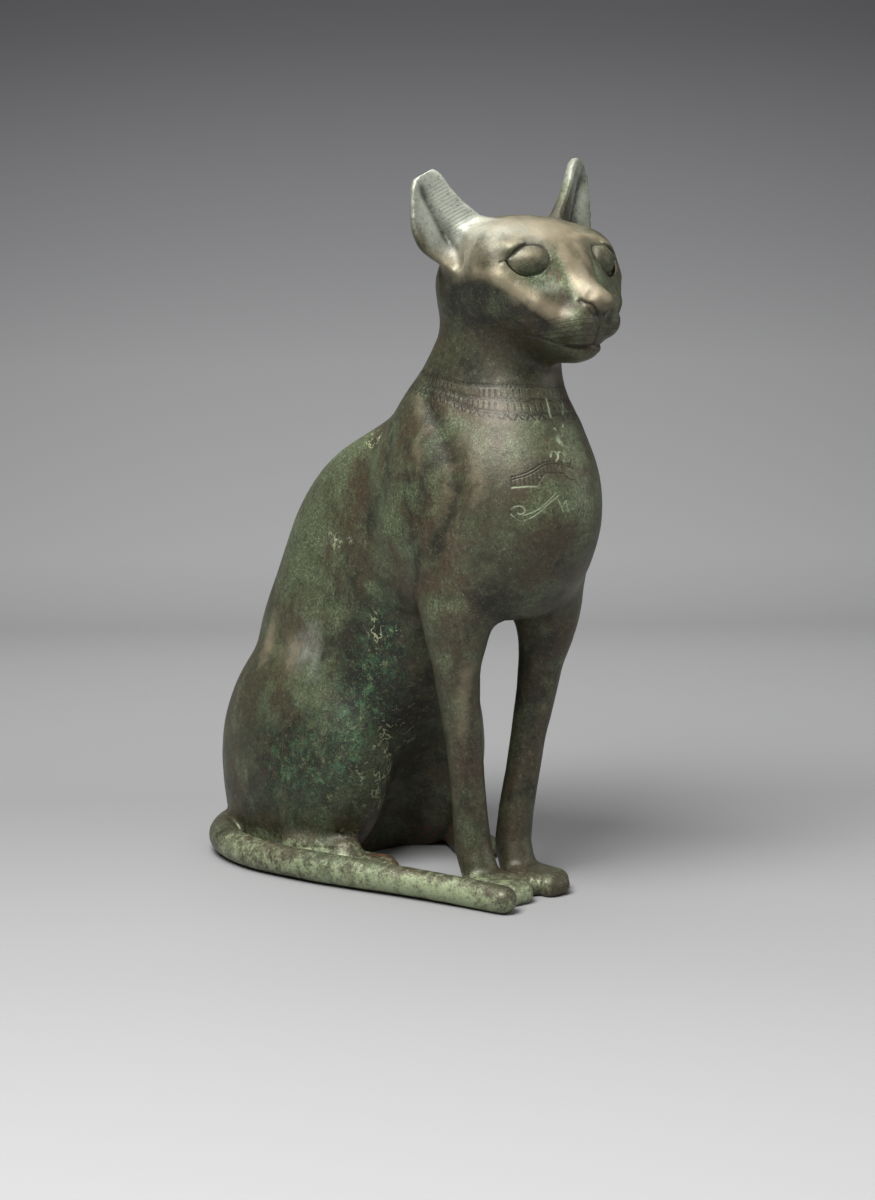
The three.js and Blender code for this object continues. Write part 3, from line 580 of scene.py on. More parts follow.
@dataclass(frozen=True)
class Head:
    """The head in its own frame, whose origin is the head's middle."""

    middle: Triple = (0, -150, 262)
    lean: float = math.radians(3.4)
    face_stations: tuple[tuple[float, float, float, float, float], ...] = (
        (-41, 2, -13, -17, -21), (-38.5, 9, -8, -17, -26), (-35, 14.6, -4, -17, -30),
        (-30.5, 20.6, 1.4, -15, -33), (-25, 28, 8.6, -9.5, -35), (-18, 34.6, 16.6, -1.5, -35),
        (-10, 36, 23, 2, -34.5), (-3, 35.8, 26, 3.5, -33), (8, 34, 27, 6.5, -29), (18, 31, 26, 8, -24),
    )
    brow_squareness: Curve = Curve(((-38, 1.7), (-31, 2), (-24, 2.9), (-14, 3.4), (6, 2.8)))
    cheek_squareness: float = 1.4
    left_ear: Ear = Ear((46, 14, 53.5))
    right_ear: Ear = Ear((42, 16, 46.5))
    masses: tuple[tuple[Field, float], ...] = (
        (Limb((31.4, 0, 3), (29.6, -16, 0.5), 4.4, 4.2), 4),
        (Limb((29.6, -16, 0.5), (20, -26.5, -10.5), 4.2, 3.8), 5),
        (Limb((20, -26.5, -10.5), (14, -30.5, -17), 3.8, 3.6), 5),
        (Limb((5, -26, 5), (11, -20, 12.4), 3.2, 3.2), 5),
        (Ellipsoid((23.6, -9, 9.5), (10.6, 13, 11)), 8),
        (Limb((0, -14, 9.4), (0, -38.6, -9), 6.2, 5.4), 6),
        (Ellipsoid((7.4, -33.4, -18.6), (8.8, 8.6, 7.8)), 2.4),
        (Ellipsoid((0, -28, -29), (9.4, 8, 5.8)), 2.5),
        (Ellipsoid((0, -41.6, -10.8), (7, 4.6, 4.2)), 2.4),
    )
    skull: Ellipsoid = Ellipsoid((0, 7, 0.5), (34, 37.5, 26.4))
    eye_socket: Ellipsoid = Ellipsoid((22.2, -25.8, 7), (10.4, 3, 6.9), (0, 0, EYE_TURN))
    eyeball: Ellipsoid = Ellipsoid((20.6, -20.4, 7), (10.2, 7.2, 7), (0, 0, EYE_TURN))
    ear_hollow: Limb = Limb((36.6, 3.6, 9), (36, 6, 20), 3, 3.6)

    def local(self, p: np.ndarray) -> np.ndarray:
        """Lay points in the head's frame, which leans to the cat's right.

        Args:
            p: Points of the figure, in millimetres.

        Returns:
            The same points in the head's frame.
        """
        d = p - self.middle
        cos, sin = math.cos(self.lean), math.sin(self.lean)
        return np.stack([d[:, 0] * cos + d[:, 2] * sin, d[:, 1], d[:, 2] * cos - d[:, 0] * sin], axis=1)

    def face(self, p: np.ndarray) -> np.ndarray:
        """Give the distances of points to the face and jaw.

        Args:
            p: Mirrored points in the head's frame, in millimetres.

        Returns:
            Distances, negative inside.
        """
        stations = self.face_stations
        first, last = stations[0][0], stations[-1][0]
        level = np.clip(p[:, 1], first, last)
        wide, top, cheek, bottom = read_stations(stations, level)
        upper = p[:, 2] > cheek
        tall = np.where(upper, top - cheek, cheek - bottom)
        power = np.where(upper, self.brow_squareness(level), self.cheek_squareness)
        u = p[:, 0] / wide
        v = np.abs(p[:, 2] - cheek) / tall
        side = oval_distance(u, v, wide, tall, power)
        return np.maximum(np.maximum(side, first - p[:, 1]), p[:, 1] - last)

    def __call__(self, p: np.ndarray) -> np.ndarray:
        """Give the distances of points to the head.

        Args:
            p: Points of the figure, in millimetres.

        Returns:
            Distances, negative inside.
        """
        q = self.local(p)
        m = mirrored(q)
        form = join(self.skull(m), self.face(m), 8)
        for mass, fillet in self.masses:
            form = join(form, mass(m), fillet)
        form = carve(form, self.eye_socket(m), 2.4)
        form = join(form, self.eyeball(m), 0.6)
        ears = np.where(q[:, 0] > 0, self.left_ear(m), self.right_ear(m))
        return carve(join(form, ears, 5), self.ear_hollow(m), 3)


@dataclass(frozen=True)
class Cat:
    """The whole figure as a field of distances, in millimetres."""

    trunk: Trunk = Trunk()
    legs: Legs = Legs()
    tail: Tail = Tail()
    head: Head = Head()

    def __call__(self, p: np.ndarray) -> np.ndarray:
        """Give the distances of points to the figure.

        Args:
            p: Points, in millimetres.

        Returns:
            Distances, negative inside.
        """
        m = mirrored(p)
        form = self.legs.onto(self.trunk(m), m)
        form = join(form, Near((-54, -198, 222), (54, -102, 322), self.head)(p), 9)
        return join(form, self.tail(p), 1.5)

    def slope(self, p: np.ndarray, step: float = 0.03) -> np.ndarray:
        """Give the field's slope at points p."""
        ways = np.eye(3) * step
        return np.stack([(self(p + w) - self(p - w)) / (2 * step) for w in ways], axis=1)


@dataclass(frozen=True)
class Cut:
    """A line cut or raised in the surface; its places lie in the plane or space of its owner."""

    places: tuple[tuple[float, ...], ...]
    height: float
    half_width: float = 0.4
    dusty: bool = False

    @cached_property
    def line(self) -> np.ndarray:
        """The line's places, close together where it is curved."""
        knots = np.array(self.places, dtype=float)
        return smooth_route(knots, 6 * (len(knots) - 1)) if len(knots) > 2 else knots

    def profile(self, p: np.ndarray) -> np.ndarray:
        """Give the line's rounded profile.

        Args:
            p: Points in the line's own plane or space.

        Returns:
            1 on the line, next to nothing from three half widths on.
        """
        reach = 3 * self.half_width
        low, high = self.line.min(axis=0) - reach, self.line.max(axis=0) + reach
        close = np.all((p >= low) & (p <= high), axis=1)
        near, best = p[close], np.full(int(close.sum()), FAR)
        for a, b in zip(self.line, self.line[1:]):
            way = b - a
            t = np.clip((near - a) @ way / (way @ way), 0.0, 1.0)
            best = np.minimum(best, np.linalg.norm(near - a - t[:, None] * way, axis=1))
        distance = np.full(len(p), FAR)
        distance[close] = best
        return ridge(distance, self.half_width)


MARK_NAMES = (
    "wear", "green", "crust", "pale", "red", "painted_shade", "painted_highlight", "curls", "incised", "dust", "hollow",
    "collar_round", "collar_band", "ear_rise", "ear_hatch", "ear_groove", "whisker_fall", "whisker_area",
)


@dataclass
class Marks:
    """What the skin's points carry: their relief and the values that the patina reads."""

    relief: np.ndarray
    values: dict[str, np.ndarray]

    @classmethod
    def blank(cls, count: int) -> Marks:
        """Start with a smooth surface of count points."""
        return cls(np.zeros(count), {name: np.zeros(count) for name in MARK_NAMES})

    def cut(self, where: np.ndarray, line: Cut, points: np.ndarray) -> None:
        """Work one line into the surface.

        Args:
            where: The indices of the points that it may touch.
            line: The line.
            points: Those points in the line's own plane or space.
        """
        profile = line.profile(points)
        self.relief[where] += line.height * profile
        if line.height < 0:
            self.darken(where, profile, line.dusty)

    def darken(self, where: np.ndarray, profile: np.ndarray, dusty: bool = False) -> None:
        """Mark a cut line for the dirt, and maybe the pale dust, that lies in it.

        Args:
            where: The indices of the points on and beside the line.
            profile: How deep in the line each of them is, from 0 to 1.
            dusty: Whether pale dust fills it.
        """
        for name in ("incised", "dust") if dusty else ("incised",):
            self.values[name][where] = np.maximum(self.values[name][where], profile)


@dataclass(frozen=True)
class Form:
    """A soft muscle or bone line that the casting's planes turn on, alike on both sides."""

    mark: str
    share: float
    line: Cut

    def work(self, marks: Marks, where: np.ndarray, m: np.ndarray) -> None:
        """Raise or sink the form and mark it rubbed or green, or give it painted shade.

        Args:
            marks: The surface's marks.
            where: The indices of the points that it may touch.
            m: Those points, both sides laid on the left one.
        """
        profile = self.line.profile(m)
        marks.relief[where] += self.line.height * profile
        marks.values[self.mark][where] += self.share * profile


# Shoulder valley and ridge, arm ridge, rear valley, haunch ridge and the hind toes' grooves; the valleys and
# the grooves get painted shade.
BODY_FORMS = (
    Form("painted_shade", 1.0, Cut((
        (33, -118, 212), (34.1, -127.6, 203.7), (35.4, -134.8, 194.2), (36.4, -140, 184.9),
        (37.1, -142.5, 174.6), (37.9, -141.6, 164.2), (40.4, -134.5, 149.5),
    ), -1.0, 4.5)),
    Form("wear", 0.2, Cut((
        (31.8, -142.8, 199), (32.9, -149.6, 187), (33.6, -153.1, 176.8), (34.2, -152.6, 166.5),
    ), 0.5, 4.0)),
    Form("wear", 0.35, Cut((
        (32.4, -112, 214), (34.4, -120, 204), (38, -122, 192), (39.5, -124, 178),
    ), 0.7, 5.0)),
    Form("painted_shade", 0.8, Cut((
        (33.9, -94.9, 200), (38.2, -97.1, 182.3), (38.1, -91.6, 169.3), (35.8, -81.8, 154.7),
    ), -1.1, 5.5)),
    Form("green", 0.9, Cut(((34.1, -80, 131.3), (30.7, -91.7, 123.8), (27.9, -100.7, 121.7)), 0.5, 3.0)),
    Form("painted_shade", 0.9, Cut((
        (49.1, -46, 10.7), (43.3, -60.8, 12.1), (33.9, -70.2, 9.7), (30, -80, 7.5),
    ), -0.55, 0.8)),
    Form("painted_shade", 0.9, Cut(((38.6, -61.1, 18.4), (32.9, -66.7, 13.9), (26.5, -82.2, 8.5)), -0.55, 0.8)),
    Form("painted_shade", 0.9, Cut(((40.1, -65.5, 13.5), (30.6, -68, 10.5), (28.3, -78.1, 8.7)), -0.45, 0.7)),
)
# Cheekbone, the nose bridge's edge, the hollow beside it and the brow, in the head's own frame.
FACE_FORMS = (
    Form("wear", 0.3, Cut((
        (37.3, -8.4, 3.3), (36.6, -15.3, 2.3), (34.3, -20.3, 0.4), (29.1, -24.7, -4.4),
        (24.5, -29.6, -10.2), (19.4, -32.7, -13.8),
    ), 0.5, 2.8)),
    Form("wear", 0.25, Cut((
        (4.5, -26.3, 12.9), (5.8, -30.5, 6.9), (6, -33.2, 0.6), (6.6, -36.3, -5.2), (6.6, -38.4, -8.7),
    ), 0.2, 2.4)),
    Form("green", 0.9, Cut((
        (9.6, -27.8, 9.6), (9.3, -30.6, 2.9), (8.8, -33.7, -3.5), (8.6, -36.4, -8.2),
    ), -0.4, 2.2)),
    Form("wear", 0.3, Cut((
        (28.5, -20.8, 13.9), (21.5, -20.8, 16.9), (12.4, -20.1, 18.4), (6.2, -22.4, 16.8),
    ), 0.35, 2.0)),
)
# The filled corner of the eye, the two lower lids and the lid line; nostril, split lip, mouth and lip.
FACE_LINES = (
    Cut((
        (29.4, -19.6, 8.2), (29, -19.8, 10), (28, -20.8, 12.1), (25.7, -21.6, 13.5), (22.7, -22.2, 14.1),
    ), 1.3, 1.15),
    Cut((
        (29.1, -20.7, 6.2), (27, -22, 3), (22.1, -24.3, 1.1), (17.8, -27.5, 1.3), (14.7, -28.2, 3.9),
    ), 0.3, 0.6),
    Cut(((32.7, -20.8, 5.5), (30.4, -22.6, 3.1), (27.3, -24.5, 0.8), (23.8, -26.1, -0.1)), 0.2, 0.8),
    Cut((
        (33.4, -19.8, 7.1), (31.5, -20.4, 7.3), (29.2, -20.5, 8.4), (27.5, -22, 10.3), (25.2, -22.7, 12.1),
        (20, -23, 13.8), (15.3, -23.7, 13.5), (12.8, -25.9, 11.1), (12.7, -27.5, 7.7),
    ), -0.5, 0.45),
    Cut((
        (1.7, -41.8, -16.4), (4, -43, -14.4), (6.2, -43.1, -12.2), (6.9, -40.5, -11.2), (7.5, -38.1, -10.1),
    ), -0.8, 0.75),
    Cut(((0, -43.4, -16.2), (0, -41.4, -20), (0, -39.4, -24), (0, -37, -28)), -0.6, 0.6),
    Cut((
        (0, -36.8, -28.4), (4.9, -35.3, -28.6), (9.6, -31.6, -28), (14.1, -27.8, -26.5),
        (18.4, -23.8, -24.1), (20.2, -18.3, -23.1),
    ), -0.8, 0.55),
    Cut(((1.2, -36.2, -30.2), (5.2, -34.6, -30.6), (10, -30.6, -30), (14.6, -26.6, -28.4)), 0.4, 1.1),
)


@dataclass(frozen=True)
class Face:
    """The face's planes and worked lines, drawn in the head's own frame on its left side."""

    edge_y: tuple[float, ...] = (-32, -30, -27.8, -23.9, -19.8, -12, -1, 12)
    edge_z: tuple[float, ...] = (-18.5, -15.6, -12.4, -7, -3.1, 0, 1.5, 0)
    hollow: float = -0.7

    def work(self, marks: Marks, where: np.ndarray, m: np.ndarray) -> None:
        """Turn the planes, sink the one under the cheek and give it painted shade, and work the lines.

        Args:
            marks: The surface's marks.
            where: The indices of the head's points.
            m: Those points in the head's frame, both sides laid on the left one.
        """
        for form in FACE_FORMS:
            form.work(marks, where, m)
        for line in FACE_LINES:
            marks.cut(where, line, m)
        x, y, z = m.T
        below = np.interp(y, self.edge_y, self.edge_z) - z
        plane = rise(-0.5, 2.5, below) * rise(14, 18, x) * rise(-33, -30, y) * rise(20, 8, y)
        marks.relief[where] += self.hollow * plane * (1 - rise(4, 14, below))
        # Painted shade on the plane under the cheekbone, which faces down away from the light.
        marks.values["painted_shade"][where] += 0.9 * plane * (1 - rise(10, 26, below))
        pad = rise(2.5, 4, x) * rise(-25, -29, y) * rise(-16.4, -17.6, z) * rise(-27.6, -26, z)
        marks.values["whisker_area"][where] = pad
        marks.values["whisker_fall"][where] = z + 0.012 * (x - 6) ** 2


@dataclass(frozen=True)
class Collar:
    """Broad incised collar whose rows sink towards the chest, with two cords to an amulet."""

    stations_y: tuple[float, ...] = (-160, -147, -138, -129, -100)
    row_heights: tuple[tuple[float, ...], ...] = (
        (218, 218.3, 219.2, 221.2, 227), (212.1, 212.9, 214.2, 216.6, 222),
        (206.3, 207.9, 210.5, 213.7, 219.5), (202.9, 204.8, 207.5, 210.8, 216.6),
    )
    heights: tuple[float, float] = (150.0, 250.0)
    neck_centre: tuple[float, float] = (0.0, -128.0)
    neck_radius: float = 32.0
    line_height: float = -0.2
    line_half_width: float = 0.28
    line_gap: float = 0.95
    cords: tuple[Cut, ...] = (
        Cut(((-2.1, 212.1), (-3.6, 203.7), (-3.3, 196.7), (-3.2, 191)), -0.22, 0.34, True),
        Cut(((6.7, 210.1), (0.6, 199.6), (-2.7, 194.2), (-3.2, 191)), -0.22, 0.34, True),
        Cut(((-9.6, 188.2), (-8.4, 190.2), (-6.6, 189.8), (-6.4, 187.8), (-7.6, 186.4)), -0.22, 0.32, True),
        Cut(((-6.4, 187.8), (-5.2, 190), (-3.2, 189.6), (-2.8, 187.4), (-4, 186.2)), -0.22, 0.32, True),
    )

    def work(self, marks: Marks, p: np.ndarray) -> None:
        """Cut the rows' lines and tell the patina where each row runs.

        Args:
            marks: The surface's marks.
            p: All points, in millimetres.
        """
        near = np.flatnonzero((p[:, 2] > self.heights[0]) & (p[:, 2] < self.heights[1]))
        q = p[near]
        rows = [np.interp(q[:, 1], self.stations_y, heights) for heights in self.row_heights]
        band = np.clip(1 - (q[:, 2] - rows[0]) / 3, 0, 1)
        for k in range(3):
            band += np.clip((rows[k] - q[:, 2]) / (rows[k] - rows[k + 1]), 0, 1)
        around = np.arctan2(q[:, 0] - self.neck_centre[0], self.neck_centre[1] - q[:, 1])
        marks.values["collar_round"][near] = around * self.neck_radius
        marks.values["collar_band"][near] = band
        worked = rise(-96, -104, q[:, 1])
        for k, row in enumerate(rows[:3]):
            for shift in (0.0, -self.line_gap):
                profile = worked * ridge(q[:, 2] - row - shift, self.line_half_width)
                marks.relief[near] += self.line_height * profile
                marks.darken(near, profile)
        front = near[q[:, 1] < -140]
        for line in self.cords:
            marks.cut(front, line, p[front][:, [0, 2]])


@dataclass(frozen=True)
class Wedjat:
    """The sacred eye that hangs on the chest, drawn in front view (across, up)."""

    height: float = -0.24
    half_width: float = 0.2
    dusty: tuple[int, ...] = (2, 10, 11, 12, 13, 14)
    strokes: tuple[tuple[tuple[float, float], ...], ...] = (
        (
            (-24.9, 180), (-21.3, 181.2), (-18.1, 182.8), (-14.3, 185.2),
            (-11.3, 186.1), (-6.4, 186.1), (-1.1, 184.9),
        ),
        (
            (-24.6, 179), (-21.1, 180.2), (-17.9, 181.7), (-14.1, 184.1),
            (-11.2, 185), (-6.4, 185), (-1.4, 183.9),
        ),
        ((-25.3, 175.8), (-21, 176.2), (-17.6, 176.1)),
        ((-17.6, 176.1), (-15.4, 179), (-13.5, 181.2), (-9.3, 181.4), (-5.6, 181.3)),
        ((-24.9, 180), (-25.3, 175.8)), ((-23.9, 179.9), (-24.2, 176.2)),
        ((-5.6, 181.3), (-4.6, 179.9), (-2.3, 178.6), (0.2, 178.7)), ((-1.1, 184.9), (0.4, 186.4)),
        ((-1.4, 183.9), (0.2, 183)), ((0.4, 186.4), (-1.4, 183.9)),
        ((-22.2, 164.5), (-19.4, 165.7), (-16.2, 167.7), (-13.5, 170.2), (-10.2, 173.2)),
        ((-24.4, 163.3), (-23.1, 162.4), (-20.6, 163.1), (-17.6, 165.1), (-14.5, 168.2), (-9.2, 172.3)),
        ((-7.1, 168.6), (-5.8, 170.4)), ((-5.8, 170.4), (-4.6, 165.9)), ((-9.3, 170.5), (-7.1, 165.7)),
    )
    volute_centre: tuple[float, float] = (-23.5, 166.2)
    volute_radius: float = 2.9
    hatch_spacing: float = 1.5
    hatch_half_width: float = 0.24
    hatch_share: float = 0.6
    hatch_dark: float = 0.65
    crack: Cut = Cut(((-3.3, 146.6), (-5.2, 141.6), (-4.1, 135.9), (-3.2, 132.3)), -0.35, 0.4)

    @cached_property
    def volute(self) -> tuple[tuple[float, float], ...]:
        """The curl at the end of the eye's lower line."""
        x, z = self.volute_centre
        turns = np.linspace(0, 1, 15)
        angles = math.radians(-108) - turns * math.tau * 1.25
        radii = self.volute_radius * (1 - 0.8 * turns)
        return tuple((x + r * math.cos(a), z + r * math.sin(a)) for r, a in zip(radii, angles))

    @cached_property
    def lines(self) -> list[Cut]:
        """Every line of the amulet."""
        made = [Cut(s, self.height, self.half_width, k in self.dusty) for k, s in enumerate(self.strokes)]
        return [*made, Cut(self.volute, self.height, self.half_width, True)]

    def hatch(self, x: np.ndarray, z: np.ndarray) -> np.ndarray:
        """Give the profile of the short strokes between the brow's lines.

        Args:
            x: Places across.
            z: Heights.

        Returns:
            1 on a stroke, 0 off them.
        """
        top = np.interp(x, *np.array(self.strokes[1]).T)
        low = np.interp(x, [-25.3, -17.6, -13.5, -5.6], [175.8, 176.1, 181.2, 181.3])
        inside = rise(0.2, 0.7, top - z) * rise(0.2, 0.7, z - low) * (x > -23.6) * (x < -3)
        phase = (x / self.hatch_spacing) % 1.0
        return inside * ridge(np.minimum(phase, 1 - phase) * self.hatch_spacing, self.hatch_half_width)

    def work(self, marks: Marks, p: np.ndarray) -> None:
        """Cut the amulet and the old crack under it.

        Args:
            marks: The surface's marks.
            p: All points, in millimetres.
        """
        x, y, z = p.T
        near = np.flatnonzero((z > 128) & (z < 196) & (y < -140) & (np.abs(x + 12) < 22))
        front = p[near][:, [0, 2]]
        for line in (*self.lines, self.crack):
            marks.cut(near, line, front)
        strokes = self.hatch(front[:, 0], front[:, 1])
        marks.relief[near] += self.hatch_share * self.height * strokes
        marks.darken(near, self.hatch_dark * strokes)


@dataclass(frozen=True)
class EarFaces:
    """Rim, groove and fine hatching of the ears' front faces."""

    head: Head = Head()
    rim_height: float = 0.45
    rim_inset: float = 0.9
    rim_half_width: float = 1.1
    groove_half_width: float = 1.3
    hatch_inset: float = 1.8

    def work(self, marks: Marks, where: np.ndarray, q: np.ndarray, m: np.ndarray) -> None:
        """Raise the rims and tell the patina where the hatching runs and where the grooves run, which it
        darkens as painted shade.

        Args:
            marks: The surface's marks.
            where: The indices of the head's points.
            q: Those points in the head's frame.
            m: The same points, both sides laid on the left one.
        """
        for ear, there in ((self.head.left_ear, q[:, 0] > 0), (self.head.right_ear, q[:, 0] <= 0)):
            near = np.flatnonzero(there & (m[:, 2] > 2) & (m[:, 0] > 14))
            up, side, out = ear.place(m[near])
            wide, crease = ear.widths(up)
            front = rise(-0.5, 1.5, 2.6 - out) * rise(-6, -2, out) * rise(-4, 3, up)
            edge, from_tip, ear_points = wide - np.abs(side), ear.axes[3] - up, where[near]
            rim = ridge(edge - self.rim_inset, self.rim_half_width) * rise(4, 10, up) * rise(0, 4, from_tip)
            inner = rise(0, self.hatch_inset, crease - side) * rise(0, 2.5, edge)
            groove = ridge(side - crease, self.groove_half_width) * rise(-3, 2, up) * rise(1, 6, from_tip)
            marks.relief[ear_points] += self.rim_height * rim * front
            marks.values["ear_rise"][ear_points] = up
            marks.values["ear_hatch"][ear_points] = inner * front * rise(3, 9, up) * rise(2, 8, from_tip)
            marks.values["ear_groove"][ear_points] = groove * front


# Patches of patina, wear, painted shade and painted highlight by mark: centre (x, y, z), half sizes (x, y, z)
# and strength.
PATINA_AND_PAINTED_LIGHT_ZONES: dict[str, tuple[tuple[float, ...], ...]] = {
    "wear": (
        (-8, -166, 284, 30, 22, 10, 0.7), (-24, -158, 282, 16, 16, 12, 0.3),
        (10, -170, 280, 16, 14, 12, 0.25), (-6, -178, 272, 10, 12, 12, 0.3),
        (-34, -148, 237, 10, 18, 8, 0.4), (-38, -146, 269, 8, 16, 8, 0.8), (-33, -171, 262, 8, 9, 7, 0.6),
        (-27, -177, 254, 8, 9, 5, 0.7), (-18, -185, 247, 7, 8, 5, 0.7), (-2, -184, 262, 7, 14, 12, 0.6),
        (0, -194, 252, 9, 8, 6, 0.7), (-24, -177, 270, 6, 6, 4, 0.6), (-31, -114, 214, 5, 10, 12, 0.12),
        (-37, -138, 186, 5, 6, 24, 0.3), (-36, -142, 155, 5, 7, 26, 0.3), (-31, -154, 176, 6, 7, 16, 0.25),
        (-40, -28, 96, 10, 12, 14, 0.6), (-39, -6, 100, 8, 7, 16, 0.8), (-27, -137, 90, 4, 8, 40, 0.65),
        (18, -134, 80, 4, 8, 30, 0.25),
    ),
    # Painted highlight on the lit ears, brow, nose, chest, side and thigh.
    "painted_highlight": (
        (-40, -136, 300, 16, 20, 26, 1.1), (-26, -146, 290, 14, 16, 10, 0.5),
        (40, -136, 306, 14, 18, 24, 0.9), (-22, -166, 282, 16, 14, 8, 0.7), (-14, -182, 258, 10, 8, 8, 0.4),
        (-2, -182, 266, 6, 12, 10, 0.35), (-40, -40, 98, 10, 18, 18, 0.65), (-29, -156, 196, 8, 8, 16, 0.3),
        (-14, -166, 276, 12, 12, 8, 0.4), (-24, -176, 256, 12, 10, 6, 0.3),
        (-36, -150, 270, 10, 14, 10, 0.45), (-37, -54, 140, 10, 18, 24, 0.25),
    ),
    "curls": (
        (-26, -74, 195, 8, 12, 5, 1.0), (-36, -60, 150, 6, 9, 6, 0.7), (-31, -86, 112, 8, 10, 7, 1.0),
        (-20, -88, 40, 16, 18, 30, 1.3), (-36, -66, 16, 10, 12, 5, 0.4),
    ),
    "pale": (
        (-13, -182, 258, 8, 8, 8, 0.8), (-66, -18, 12, 14, 24, 10, 0.2), (-50, -40, 6, 36, 80, 12, 1.0),
        (-36, -130, 4, 30, 46, 12, 0.75), (-4, -150, 4, 30, 22, 8, 0.7), (-40, -136, 300, 16, 20, 26, 0.6),
        (40, -136, 306, 16, 20, 24, 0.5),
    ),
    "green": (
        (-34, -27, 149, 16, 30, 40, 0.9), (-25, -54, 191, 20, 24, 12, 0.9), (8, -178, 172, 16, 14, 34, 0.6),
        (-14, -172, 180, 12, 12, 16, 0.5), (-20, -140, 226, 26, 28, 14, -0.6),
        (-40, -104, 165, 10, 14, 26, 0.9), (-20, -178, 257, 12, 10, 6, 1.0),
        (-42, -60, 56, 20, 30, 30, 0.7),
    ),
    "crust": (
        (-42, -58, 48, 18, 34, 28, 1.1), (-50, -28, 44, 14, 24, 26, 0.6), (-34, -82, 88, 14, 20, 28, 1.2),
        (-31, -92, 116, 12, 12, 18, 0.7),
    ),
    "red": (
        (-17, -74, 12, 12, 16, 9, 1.2), (26, -54, 6, 14, 20, 10, 0.6), (-13, -179, 262, 3, 4, 4, 0.5),
    ),
    # Painted shade where the flank, belly, neck, jaw, elbows, legs and the chest's underside turn from the
    # light.
    "painted_shade": (
        (-37, -72, 112, 10, 24, 28, 0.9), (-34, -84, 84, 12, 18, 24, 0.8), (-10, -80, 50, 26, 34, 50, 1.3),
        (-32, -140, 250, 14, 26, 8, 0.5), (-18, -176, 232, 18, 16, 8, 0.1),
        (-20, -140, 224, 22, 26, 9, 0.8), (-38, -124, 176, 6, 9, 30, 0.8), (-38, -120, 150, 8, 12, 24, 0.8),
        (-22, -137, 70, 4, 8, 30, 0.5), (14, -130, 80, 14, 16, 50, 0.7), (-52, -5, 26, 14, 30, 12, 0.6),
        (-14, -152, 128, 24, 14, 16, 0.9),
    ),
}


def paint_patina_and_painted_light(marks: Marks, p: np.ndarray) -> None:
    """Add every soft-edged patch of patina, wear, painted shade or painted highlight to its mark.

    Args:
        marks: The surface's marks.
        p: All points, in millimetres.
    """
    for mark, zones in PATINA_AND_PAINTED_LIGHT_ZONES.items():
        for *box, strength in zones:
            away = (p - box[:3]) / box[3:]
            marks.values[mark] = marks.values[mark] + strength * np.exp(-np.einsum("ij,ij->i", away, away))


def placed(name: str, data: bpy.types.ID) -> bpy.types.Object:
    """Add an object to the scene.

    Args:
        name: Name of the object.
        data: What it shows or holds.

    Returns:
        The object.
    """
    made = bpy.data.objects.new(name, data)
    bpy.context.scene.collection.objects.link(made)
    return made


def smooth_object(name: str, bm: bmesh.types.BMesh) -> bpy.types.Object:
    """Turn faces into a smooth-shaded object of the scene.

    Args:
        name: Name of the object.
        bm: The faces, which are freed.

    Returns:
        The object.
    """
    mesh = bpy.data.meshes.new(name)
    bm.to_mesh(mesh)
    bm.free()
    mesh.shade_smooth()
    return placed(name, mesh)


def looks_down(part: bmesh.types.BMEdge | bmesh.types.BMVert) -> bool:
    """Tell whether every face round an edge or a point looks straight down."""
    return all(face.normal.z < -0.99 for face in part.link_faces)


